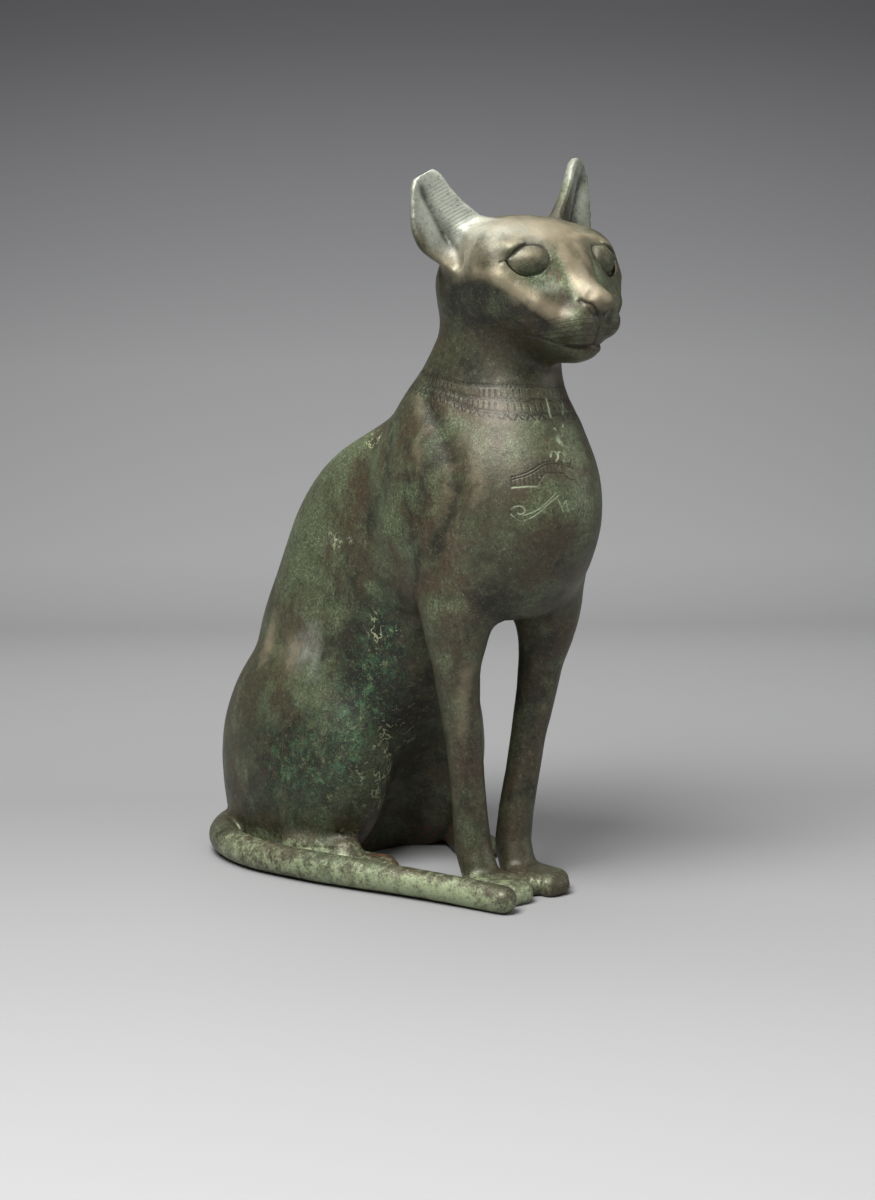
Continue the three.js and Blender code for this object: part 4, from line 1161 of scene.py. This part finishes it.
@dataclass
class BronzeSkin:
    """The cast surface: the casting's faces made fine, smooth and worked.

    Each detail is a box of the figure (low corner, high corner) and the edge length of its faces.
    """

    cat: Cat = Cat()
    body_edge: float = 2.8
    passes: int = 5
    split_over: float = 1.42
    least_slope: float = 0.25
    neck: float = 224.0
    flank: float = 20.0
    hollow_reach: float = 5.0
    sharp_from: float = math.radians(60)
    details: tuple[tuple[Triple, Triple, float], ...] = (
        ((-54, -200, 222), (54, -100, 322), 1.5), ((-50, -200, 228), (50, -158, 284), 0.95),
        ((-40, -184, 259), (-4, -154, 280), 0.45), ((6, -184, 258), (38, -154, 280), 0.6),
        ((-24, -200, 228), (24, -172, 256), 0.6), ((-44, -185, 200), (44, -96, 221), 0.7),
        ((-30, -184, 158), (6, -150, 191), 0.4), ((-30, -165, -1), (30, -120, 20), 1.3),
        ((-56, -100, -1), (56, -40, 20), 1.5), ((-50, -88, 5), (-24, -42, 20), 0.8),
    )
    waves: tuple[tuple[float, float], ...] = ((34.0, 0.3), (11.0, 0.1), (4.5, 0.04))
    face: Face = Face()
    ears: EarFaces = EarFaces()
    collar: Collar = Collar()
    wedjat: Wedjat = Wedjat()

    def wanted_edge(self, p: np.ndarray) -> np.ndarray:
        """Tell how fine the skin's faces need to be.

        Args:
            p: Points, in millimetres.

        Returns:
            The length of the faces' edges there.
        """
        edge = np.full(len(p), self.body_edge)
        for low, high, fine in self.details:
            holds = np.all((p >= low) & (p <= high), axis=1)
            edge[holds] = np.minimum(edge[holds], fine)
        return edge

    def refine(self, bm: bmesh.types.BMesh) -> None:
        """Split long edges until each is about as short as its place asks.

        Args:
            bm: The casting's faces, merged.
        """
        for _ in range(self.passes):
            bm.edges.ensure_lookup_table()
            ends = np.array([(*e.verts[0].co, *e.verts[1].co) for e in bm.edges]) / MM
            length = np.linalg.norm(ends[:, :3] - ends[:, 3:], axis=1)
            wanted = self.wanted_edge((ends[:, :3] + ends[:, 3:]) / 2)
            flat = (ends[:, 2] < UNDERSIDE) & (ends[:, 5] < UNDERSIDE)
            inner = np.array([looks_down(e) for e in bm.edges])
            long = np.flatnonzero((length > self.split_over * wanted) & ~(flat & inner))
            if not len(long):
                break
            chosen = [bm.edges[k] for k in long]
            bmesh.ops.subdivide_edges(bm, edges=chosen, cuts=1, use_grid_fill=True, use_single_edge=True)
            bmesh.ops.triangulate(bm, faces=[f for f in bm.faces if len(f.verts) > 3])
            bm.normal_update()

    def settle(self, bm: bmesh.types.BMesh, rounds: int = 4, longest: float = 0.6) -> None:
        """Even out the faces and lay the points on the casting's true surface.

        Args:
            bm: The refined faces.
            rounds: Number of times that the points are eased and laid down.
            longest: Longest move of a point in one round, in millimetres.
        """
        verts = list(bm.verts)
        under = np.array([v.co.z < UNDERSIDE * MM for v in verts])
        inner = np.array([looks_down(v) for v in verts]) & under
        free = [v for v, u in zip(verts, under) if not u]
        ease = {"factor": 0.5, "use_axis_x": True, "use_axis_y": True, "use_axis_z": True}
        for k in range(rounds):
            if k < rounds - 1:
                bmesh.ops.smooth_vert(bm, verts=free, **ease)
            p = np.array([v.co for v in verts]) / MM
            slope = self.cat.slope(p)
            slope[under, 2] = 0.0
            steep = np.maximum(np.einsum("ij,ij->i", slope, slope), self.least_slope)
            step = -(self.cat(p) / steep)[:, None] * slope
            size = np.maximum(np.linalg.norm(step, axis=1), 1e-9)
            step *= np.minimum(1.0, longest / size)[:, None]
            step[inner] = 0.0
            self.place(bm, p + step, under)

    def place(self, bm: bmesh.types.BMesh, p: np.ndarray, under: np.ndarray) -> None:
        """Put the points at p, inside the casting's own box.

        Args:
            bm: The faces.
            p: Their points' places, in millimetres.
            under: Which points belong to the flat underside.
        """
        low, high = (np.array(corner) / MM for corner in CAD_BOUNDS)
        p = np.clip(p, low, high)
        p[under, 2] = 0.0
        for v, place in zip(bm.verts, p * MM):
            v.co = place

    def sinking(self, p: np.ndarray, normal: np.ndarray, reach: float) -> np.ndarray:
        """Tell how far the surface sinks (+) or bulges (-) around each point.

        Args:
            p: Points on the surface, in millimetres.
            normal: The surface's directions there.
            reach: Distance of the four probes around each point, in millimetres.

        Returns:
            Mean depth of the probes under the surface, in millimetres.
        """
        helper = np.where(np.abs(normal[:, 2:]) < 0.8, (0.0, 0.0, 1.0), (1.0, 0.0, 0.0))
        across = np.cross(normal, helper)
        across /= np.linalg.norm(across, axis=1)[:, None]
        along = np.cross(normal, across)
        return -sum(self.cat(p + way * reach) for way in (across, -across, along, -along)) / 4

    def unevenness(self, p: np.ndarray) -> np.ndarray:
        """Give the casting's slight waviness and corrosion.

        Args:
            p: Points, in millimetres.

        Returns:
            Heights over the smooth surface, in millimetres.
        """
        heights = np.zeros(len(p))
        for size, height in self.waves:
            heights += [height * noise.noise(Vector(q)) for q in p / size]
        return heights * (1 - 0.7 * rise(self.neck, self.neck + 16, p[:, 2]))

    def work(self, bm: bmesh.types.BMesh) -> Marks:
        """Cut and raise the worked detail.

        Args:
            bm: The settled faces.

        Returns:
            The marks of every point.
        """
        p = np.array([v.co for v in bm.verts]) / MM
        marks = Marks.blank(len(p))
        slope = self.cat.slope(p)
        normal = slope / np.maximum(np.linalg.norm(slope, axis=1), 1e-6)[:, None]
        head = np.flatnonzero(p[:, 2] > self.neck)
        local = self.cat.head.local(p[head])
        self.face.work(marks, head, mirrored(local))
        self.ears.work(marks, head, local, mirrored(local))
        body = np.flatnonzero((p[:, 2] < self.neck) & (np.abs(p[:, 0]) > self.flank))
        for form in BODY_FORMS:
            form.work(marks, body, mirrored(p[body]))
        self.collar.work(marks, p)
        self.wedjat.work(marks, p)
        paint_patina_and_painted_light(marks, p)
        # Painted shade: how far the surface sinks around each point, which the material darkens.
        marks.values["hollow"] = rise(0.1, 1.2, self.sinking(p, normal, self.hollow_reach))
        marks.relief += self.unevenness(p)
        under = p[:, 2] < UNDERSIDE
        marks.relief[under] = 0.0
        self.place(bm, p + normal * marks.relief[:, None], under)
        return marks

    def build(self, casting: bpy.types.Object) -> bpy.types.Object:
        """Make the skin.

        Args:
            casting: The casting's own object, which stays as it is.

        Returns:
            The skin's object.
        """
        bm = bmesh.new()
        bm.from_mesh(casting.data)
        bmesh.ops.remove_doubles(bm, verts=bm.verts, dist=1e-6)
        self.refine(bm)
        self.settle(bm)
        marks = self.work(bm)
        skin = smooth_object("bronze_skin", bm)
        for name, values in marks.values.items():
            layer = skin.data.attributes.new(name, "FLOAT", "POINT")
            layer.data.foreach_set("value", values.astype(np.float32))
        skin.data.set_sharp_from_angle(angle=self.sharp_from)
        log.info("bronze skin: %d faces", len(skin.data.polygons))
        return skin

    def dress(self, skin: bpy.types.Object, finish: PatinatedBronze) -> None:
        """Give the skin its finish and its place in the part.

        Args:
            skin: The skin's object.
            finish: The bronze.
        """
        skin.data.materials.append(finish.material())
        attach(skin, "root")
        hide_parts("bronze_cat")


def linear(colour: str) -> tuple[float, float, float, float]:
    """Turn an sRGB hex colour to linear.

    Args:
        colour: Six hex digits.

    Returns:
        Linear red, green, blue and alpha.
    """
    parts = [int(colour[k : k + 2], 16) / 255 for k in (0, 2, 4)]
    flat = [c / 12.92 if c <= 0.04045 else ((c + 0.055) / 1.055) ** 2.4 for c in parts]
    return (*flat, 1.0)


def node(
    tree: bpy.types.NodeTree, kind: str, inputs: dict[str | int, object] | None = None, **settings: object
) -> bpy.types.Node:
    """Add a shader node.

    Args:
        tree: The material's node tree.
        kind: The node's type.
        inputs: For its sockets by name or number: an output socket to link, or a value.
        settings: Values for the node's own properties.

    Returns:
        The node.
    """
    made = tree.nodes.new(kind)
    for name, value in settings.items():
        setattr(made, name, value)
    for key, value in (inputs or {}).items():
        socket = made.inputs[key]
        if isinstance(value, bpy.types.NodeSocket):
            tree.links.new(value, socket)
        else:
            socket.default_value = value
    return made


def blank_material(name: str) -> tuple[bpy.types.Material, bpy.types.NodeTree]:
    """Make a material with an empty node tree.

    Args:
        name: Name of the material.

    Returns:
        The material and its tree.
    """
    made = bpy.data.materials.new(name)
    made.use_nodes = True
    made.node_tree.nodes.clear()
    return made, made.node_tree


def finish_material(tree: bpy.types.NodeTree, inputs: dict[str | int, object]) -> None:
    """End a node tree with a surface shader that takes these inputs."""
    shader = node(tree, "ShaderNodeBsdfPrincipled", inputs)
    node(tree, "ShaderNodeOutputMaterial", {"Surface": shader.outputs["BSDF"]})


@dataclass
class Coats:
    """Coats of colour, laid one over the other in a material's node tree."""

    tree: bpy.types.NodeTree
    place: bpy.types.NodeSocket
    colour: bpy.types.NodeSocket

    def math(self, operation: str, *values: object) -> bpy.types.NodeSocket:
        """Work out one value from others."""
        return node(self.tree, "ShaderNodeMath", dict(enumerate(values)), operation=operation).outputs[0]

    def mark(self, name: str) -> bpy.types.NodeSocket:
        """Read one of the skin's marks."""
        return node(self.tree, "ShaderNodeAttribute", attribute_name=name).outputs["Fac"]

    def both(self, one: bpy.types.NodeSocket, other: bpy.types.NodeSocket) -> bpy.types.NodeSocket:
        """Keep a mask only where a second one also holds."""
        return self.math("MULTIPLY", one, other)

    def window(self, value: bpy.types.NodeSocket, low: float, high: float) -> bpy.types.NodeSocket:
        """Keep what lies between two values of a mark."""
        return self.math("COMPARE", value, (low + high) / 2, (high - low) / 2)

    def ramp(self, value: bpy.types.NodeSocket, low: float, high: float) -> bpy.types.NodeSocket:
        """Rise smoothly from 0 to 1.

        Args:
            value: The value to read.
            low: Where the rise starts.
            high: Where it ends.

        Returns:
            The share, from 0 to 1.
        """
        inputs = {"Value": value, "From Min": low, "From Max": high}
        eased = node(self.tree, "ShaderNodeMapRange", inputs, interpolation_type="SMOOTHSTEP")
        return eased.outputs["Result"]

    def blend(self, share: bpy.types.NodeSocket, none: float, full: float) -> bpy.types.NodeSocket:
        """Go from one value where a share is 0 to another where it is 1."""
        inputs = {"Value": share, "To Min": none, "To Max": full}
        return node(self.tree, "ShaderNodeMapRange", inputs).outputs["Result"]

    def noise(self, size: float, **settings: float) -> bpy.types.NodeSocket:
        """Give a noise whose patches are about size millimetres."""
        inputs = {"Vector": self.place, "Scale": 1000.0 / size, **settings}
        return node(self.tree, "ShaderNodeTexNoise", inputs).outputs["Fac"]

    def patches(
        self,
        size: float,
        edges: tuple[float, float],
        mark: str = "",
        detail: float = 6.0,
        pull: float = 0.3,
        ragged: float = 0.56,
    ) -> bpy.types.NodeSocket:
        """Make a mask of irregular patches.

        Args:
            size: Size of the patches in millimetres.
            edges: Noise values where the patches start and where they are full.
            mark: Name of a mark that brings more patches where it is strong.
            detail: How many times finer patches ride on the large ones.
            pull: How much a full mark adds to the noise.
            ragged: How strong the finer patches are beside the large ones.

        Returns:
            The mask.
        """
        pattern = self.noise(size, Detail=detail, Roughness=ragged, Distortion=0.2)
        if mark:
            pattern = self.math("MULTIPLY_ADD", self.mark(mark), pull, pattern)
        return self.ramp(pattern, *edges)

    def row(self, along: bpy.types.NodeSocket, spacing: float, share: float) -> bpy.types.NodeSocket:
        """Make a row of short cuts.

        Args:
            along: How far each place lies along the row, in millimetres.
            spacing: From one cut to the next, in millimetres.
            share: How much of the spacing a cut takes.

        Returns:
            1 in a cut and 0 between them.
        """
        swing = self.math("PINGPONG", self.math("DIVIDE", along, spacing), 1.0)
        return self.ramp(swing, share + 0.12, share - 0.12)

    def lay(self, mask: bpy.types.NodeSocket, tint: str, strength: float = 1.0) -> None:
        """Lay one coat of colour over what is below it.

        Args:
            mask: Where the coat lies.
            tint: The coat's sRGB colour.
            strength: How much of the coat's colour shows where it is full.
        """
        share = self.math("MULTIPLY", mask, strength)
        inputs = {"Factor": share, 6: self.colour, 7: linear(tint)}
        self.colour = node(self.tree, "ShaderNodeMix", inputs, data_type="RGBA").outputs[2]


@dataclass(frozen=True)
class PatinatedBronze:
    """Cast leaded bronze under an old burial patina, rubbed bright on its high places.

    The eye gets a satin brown-olive metal, buff where hands have rubbed it, mottled with light
    and middle verdigris, with a dark crust on the haunch and pale dust in the cut lines. Painted shade
    darkens its valleys, hollows, creases and the faces turned from the light, and a painted highlight
    brightens the lit ears, brow, nose and thigh.
    """

    brown: str = "463c2c"
    olive: str = "434331"
    dark_olive: str = "211f16"
    buff: str = "9c9076"
    verdigris: str = "59694a"
    pale_verdigris: str = "a1ac87"
    crust_black: str = "15170f"
    teal: str = "2b5347"
    grain_green: str = "4d7550"
    grain_yellow: str = "869265"
    dust: str = "b3c29d"
    # Pale grey of the painted highlight.
    painted_highlight: str = "b6bbae"
    cuprite: str = "8c4a34"
    thread: str = "cfd2a6"
    # The groove colour darkens the cut lines and also paints shade in the hollows and the ears' grooves.
    groove: str = "17150f"
    stroke_spacing: float = 1.3
    petal_spacing: float = 2.1
    hatch_spacing: float = 0.75
    whisker_spacing: float = 1.1
    strokes_depth: float = -1.2
    crust_height: float = 1.6
    relief: float = 0.00022

    def strokes(self, coats: Coats) -> bpy.types.NodeSocket:
        """Draw the collar's strokes and petals, the ears' hatching and the whisker lines.

        Args:
            coats: The material's coats.

        Returns:
            1 in a stroke and 0 elsewhere.
        """
        around, band = coats.mark("collar_round"), coats.mark("collar_band")
        upright = coats.row(around, self.stroke_spacing, 0.3)
        rows = [coats.both(upright, coats.window(band, *ends)) for ends in ((1.32, 1.86), (2.3, 2.86))]
        slants = [
            coats.row(coats.math("MULTIPLY_ADD", band, lean, around), self.petal_spacing, 0.24)
            for lean in (2.0, -2.0)
        ]
        petals = coats.both(coats.math("MAXIMUM", *slants), coats.window(band, 3.12, 3.9))
        collar = coats.math("ADD", coats.math("ADD", *rows), petals)
        kept = coats.both(collar, coats.patches(10.0, (0.34, 0.6), detail=2.0))
        lines = coats.row(coats.mark("ear_rise"), self.hatch_spacing, 0.4)
        hatch = coats.both(coats.mark("ear_hatch"), lines)
        with_ears = coats.math("MULTIPLY_ADD", hatch, 0.22, kept)
        fall = coats.row(coats.mark("whisker_fall"), self.whisker_spacing, 0.22)
        return coats.math("MULTIPLY_ADD", coats.both(coats.mark("whisker_area"), fall), 0.5, with_ears)

    def metal(self, coats: Coats) -> None:
        """Lay the metal skin with its verdigris and mottling.

        Args:
            coats: The material's coats.
        """
        # Brown to olive metal skin in soft clouds about 24 mm across, darker in blotches of 12 mm, which also
        # lay painted shade on the valleys and planes turned from the light.
        coats.lay(coats.patches(24.0, (0.35, 0.65), detail=3.0), self.olive)
        coats.lay(coats.patches(12.0, (0.56, 0.9), "painted_shade", 4.0, 0.36), self.dark_olive, 0.85)

        # Thin verdigris: a green film, and in it grains of about 1 mm.
        green = coats.patches(16.0, (0.44, 0.84), "green", 5.0)
        coats.lay(green, self.verdigris, 0.6)
        coats.lay(coats.both(green, coats.patches(1.0, (0.44, 0.68), detail=3.0)), self.pale_verdigris, 0.4)

        # Ragged mottling of about 3 mm, darker and lighter than the skin around it.
        for edges, tint, strength in (
            ((0.51, 0.64), self.dark_olive, 0.4),
            ((0.48, 0.37), self.pale_verdigris, 0.2),
        ):
            coats.lay(coats.patches(3.0, edges, detail=9.0, ragged=0.92), tint, strength)

    def corrosion(self, coats: Coats) -> bpy.types.NodeSocket:
        """Lay the crust, the pale corrosion, the painted highlight, the threads and the red spots.

        Args:
            coats: The material's coats.

        Returns:
            The crust's mask.
        """
        # Crust on the haunch: nearly black, broken up by green, yellow-green and teal grains.
        crust = coats.patches(9.0, (0.52, 0.86), "crust", 8.0, 0.3, 0.75)
        coats.lay(crust, self.crust_black, 0.85)
        grainy = coats.both(crust, coats.mark("crust"))
        for size, edges, tint, strength in (
            (8.0, (0.54, 0.62), self.teal, 0.7),
            (6.0, (0.51, 0.58), self.grain_green, 0.7),
            (3.6, (0.54, 0.61), self.grain_yellow, 0.75),
        ):
            coats.lay(coats.both(grainy, coats.patches(size, edges, detail=9.0, ragged=0.92)), tint, strength)

        # Pale grey-green corrosion on the tail, paws and ears, a painted highlight on the lit ears, brow,
        # nose and thigh, and pits and specks everywhere.
        coats.lay(coats.patches(5.0, (0.75, 0.96), "pale", 9.0, 0.42, 0.9), self.pale_verdigris, 0.9)
        coats.lay(coats.patches(9.0, (0.75, 1.6), "painted_highlight", 8.0, 1.0, 0.68), self.painted_highlight, 0.72)
        coats.lay(coats.patches(1.5, (0.54, 0.7), detail=5.0), self.dark_olive, 0.5)
        coats.lay(coats.patches(0.7, (0.66, 0.73), detail=2.0), self.dust, 0.35)

        # Crinkled threads of pale accretion, the edges of a noise's levels.
        threads = coats.math("COMPARE", coats.noise(4.5, Detail=2.0), 0.5, 0.024)
        there = coats.both(coats.patches(7.0, (0.62, 0.74), "curls", 2.0), coats.mark("curls"))
        coats.lay(coats.both(threads, there), self.thread, 0.8)

        # Red copper oxide in spots near the seat.
        coats.lay(coats.both(coats.mark("red"), coats.patches(3.0, (0.5, 0.6))), self.cuprite, 0.85)
        return crust

    def material(self) -> bpy.types.Material:
        """Make the material.

        Returns:
            The material.
        """
        made, tree = blank_material("leaded bronze, cast, burial patina")
        place = node(tree, "ShaderNodeTexCoord").outputs["Object"]
        start = node(tree, "ShaderNodeRGB").outputs[0]
        start.default_value = linear(self.brown)
        coats = Coats(tree, place, start)
        self.metal(coats)
        crust = self.corrosion(coats)

        # Hands have rubbed the high places to a buff sheen.
        rubbed = coats.patches(7.0, (0.65, 1.6), "wear", 8.0, 1.0, 0.6)
        coats.lay(rubbed, self.buff, 0.8)

        # Painted shade darkens the hollows and the ears' grooves; dirt lies in the cut lines, and pale green
        # dust in some of the lines.
        coats.lay(coats.mark("hollow"), self.groove, 0.4)
        lines = coats.math("MAXIMUM", coats.mark("incised"), coats.mark("ear_groove"))
        strokes = self.strokes(coats)
        coats.lay(coats.math("MAXIMUM", lines, strokes), self.groove, 0.7)
        coats.lay(coats.both(coats.mark("dust"), coats.patches(7.0, (0.4, 0.5))), self.dust, 0.7)

        # Corroded skin is dull, rubbed metal is satin; the crust stands up and the strokes are sunk.
        grain = coats.noise(0.9, Detail=4.0, Roughness=0.6)
        raised = coats.math("MULTIPLY_ADD", crust, self.crust_height, grain)
        sunk = coats.math("MULTIPLY_ADD", strokes, self.strokes_depth, raised)
        bump = node(tree, "ShaderNodeBump", {"Height": sunk, "Distance": self.relief, "Strength": 0.55})
        finish_material(
            tree,
            {
                "Base Color": coats.colour,
                "Metallic": coats.blend(rubbed, 0.35, 0.42),
                "Roughness": coats.blend(rubbed, 0.5, 0.48),
                "Normal": bump.outputs["Normal"],
                "Coat Weight": 0.12,
                "Coat Roughness": 0.42,
            },
        )
        return made


class PaperGreyAndPaintedShade(Enum):
    """Greys of the studio paper: its place from the near edge (0) to the top (1), and sRGB; the dip under and
    just behind the figure is a painted shadow and the darkening up the wall is painted shade.
    """

    NEAR = (0.0, "a8a8a8")
    # FRONT and UNDER make a painted shadow under and just behind the figure.
    FRONT = (0.1, "969696")
    UNDER = (0.21, "8b8b8b")
    FLOOR = (0.42, "aeaeae")
    BEND = (0.6, "bcbcbc")
    WALL = (0.76, "acacad")
    # HIGH, DIM and TOP paint shade that darkens the wall towards the top.
    HIGH = (0.86, "8e8e90")
    DIM = (0.93, "6c6c6e")
    TOP = (1.0, "4b4b4d")


@dataclass(frozen=True)
class Softbox:
    """A soft studio light that looks at the figure."""

    name: str
    place: Triple
    size: float
    power: float
    target: Triple = (0.0, -90.0, 150.0)

    def hang(self) -> None:
        """Put the light up."""
        lamp = bpy.data.lights.new(self.name, "AREA")
        lamp.shape = "SQUARE"
        lamp.size = self.size * MM
        lamp.energy = self.power
        way = Vector(self.target) - Vector(self.place)
        turn = way.to_track_quat("-Z", "Y").to_matrix().to_4x4()
        placed(self.name, lamp).matrix_world = Matrix.Translation(Vector(self.place) * MM) @ turn


@dataclass(frozen=True)
class Studio:
    """Paper sweep, soft lights and the camera."""

    camera_place: Triple = (-496.67, -700.41, 200.75)
    looking: tuple[float, float] = (0.6293, 0.7771)
    roll: float = math.radians(0.5)
    lens: float = 52.29
    film: float = 36.0
    shift_up: float = -0.1442
    sweep_bend: float = 500.0
    sweep_steps: int = 16
    sweep_back: float = 900.0
    sweep_height: float = 2200.0
    sweep_half_width: float = 2600.0
    sweep_front: float = -1600.0
    lights: tuple[Softbox, ...] = (
        Softbox("key", (-610, -370, 1050), 650, 24),
        Softbox("top", (50, 50, 1300), 1000, 8),
        Softbox("fill", (700, -750, 450), 700, 2.5),
    )

    def paper(self) -> bpy.types.Material:
        """Matte studio paper, pale on the floor, with a painted shadow under and just behind the figure and
        painted shade darkening the wall towards the top.

        Returns:
            The material.
        """
        made, tree = blank_material("studio paper, matte")
        place = node(tree, "ShaderNodeTexCoord").outputs["Object"]
        run = node(tree, "ShaderNodeVectorMath", {0: place, 1: (*self.looking, 1.0)}, operation="DOT_PRODUCT")
        reach = {"Value": run.outputs["Value"], "From Min": -0.5, "From Max": 2.3}
        share = node(tree, "ShaderNodeMapRange", reach)
        shades = node(tree, "ShaderNodeValToRGB", {"Fac": share.outputs["Result"]})
        stops = shades.color_ramp.elements
        near, *between, top = (grey.value for grey in PaperGreyAndPaintedShade)
        stops[0].color, stops[1].color = linear(near[1]), linear(top[1])
        for position, grey in between:
            stops.new(position).color = linear(grey)
        finish_material(tree, {"Base Color": shades.outputs["Color"], "Roughness": 0.9})
        return made

    def sweep(self) -> None:
        """Lay the paper: a floor that bends up into a wall behind the figure."""
        away = Vector((*self.looking, 0))
        side = Vector((self.looking[1], -self.looking[0], 0))
        profile = [(self.sweep_front, 0.0), (self.sweep_back, 0.0)]
        for k in range(1, self.sweep_steps + 1):
            angle = math.pi / 2 * k / self.sweep_steps
            bend = (self.sweep_bend * math.sin(angle), self.sweep_bend * (1 - math.cos(angle)))
            profile.append((self.sweep_back + bend[0], bend[1]))
        profile.append((self.sweep_back + self.sweep_bend, self.sweep_height))
        bm = bmesh.new()
        edge = [away * far - side * self.sweep_half_width + Vector((0, 0, up)) for far, up in profile]
        verts = [bm.verts.new(spot * MM) for spot in edge]
        edges = [bm.edges.new(pair) for pair in zip(verts, verts[1:])]
        grown = bmesh.ops.extrude_edge_only(bm, edges=edges)
        moved = [g for g in grown["geom"] if isinstance(g, bmesh.types.BMVert)]
        bmesh.ops.translate(bm, verts=moved, vec=side * 2 * self.sweep_half_width * MM)
        bmesh.ops.recalc_face_normals(bm, faces=bm.faces)
        floor = smooth_object("studio_sweep", bm)
        floor.data.materials.append(self.paper())

    def camera(self) -> None:
        """Set up the camera at the photograph's angle."""
        data = bpy.data.cameras.new("camera")
        data.lens = self.lens
        data.sensor_width = self.film
        data.sensor_fit = "AUTO"
        data.shift_y = self.shift_up
        data.clip_start = 0.01
        data.clip_end = 20.0
        away = Vector((*self.looking, 0)).normalized()
        right, up = Vector((away.y, -away.x, 0)), Vector((0, 0, 1))
        cos, sin = math.cos(self.roll), math.sin(self.roll)
        turn = Matrix((right * cos - up * sin, right * sin + up * cos, -away)).transposed().to_4x4()
        held = placed("camera", data)
        held.matrix_world = Matrix.Translation(Vector(self.camera_place) * MM) @ turn
        bpy.context.scene.camera = held

    def light(self) -> None:
        """Light the room softly."""
        bpy.context.scene.view_settings.view_transform = "Standard"
        for softbox in self.lights:
            softbox.hang()
        world = bpy.data.worlds.new("soft room light")
        bpy.context.scene.world = world
        world.use_nodes = True
        world.node_tree.nodes.clear()
        glow = node(world.node_tree, "ShaderNodeBackground", {"Color": linear("c8c9cc"), "Strength": 0.16})
        node(world.node_tree, "ShaderNodeOutputWorld", {"Surface": glow.outputs["Background"]})


def main() -> None:
    """Build, dress and light the figure."""
    logging.basicConfig(level=logging.INFO, format="%(name)s: %(message)s")
    skin = BronzeSkin()
    surface = skin.build(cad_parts["bronze_cat"])
    skin.dress(surface, PatinatedBronze())
    studio = Studio()
    studio.sweep()
    studio.light()
    studio.camera()


if __name__ == "__main__":
    main()
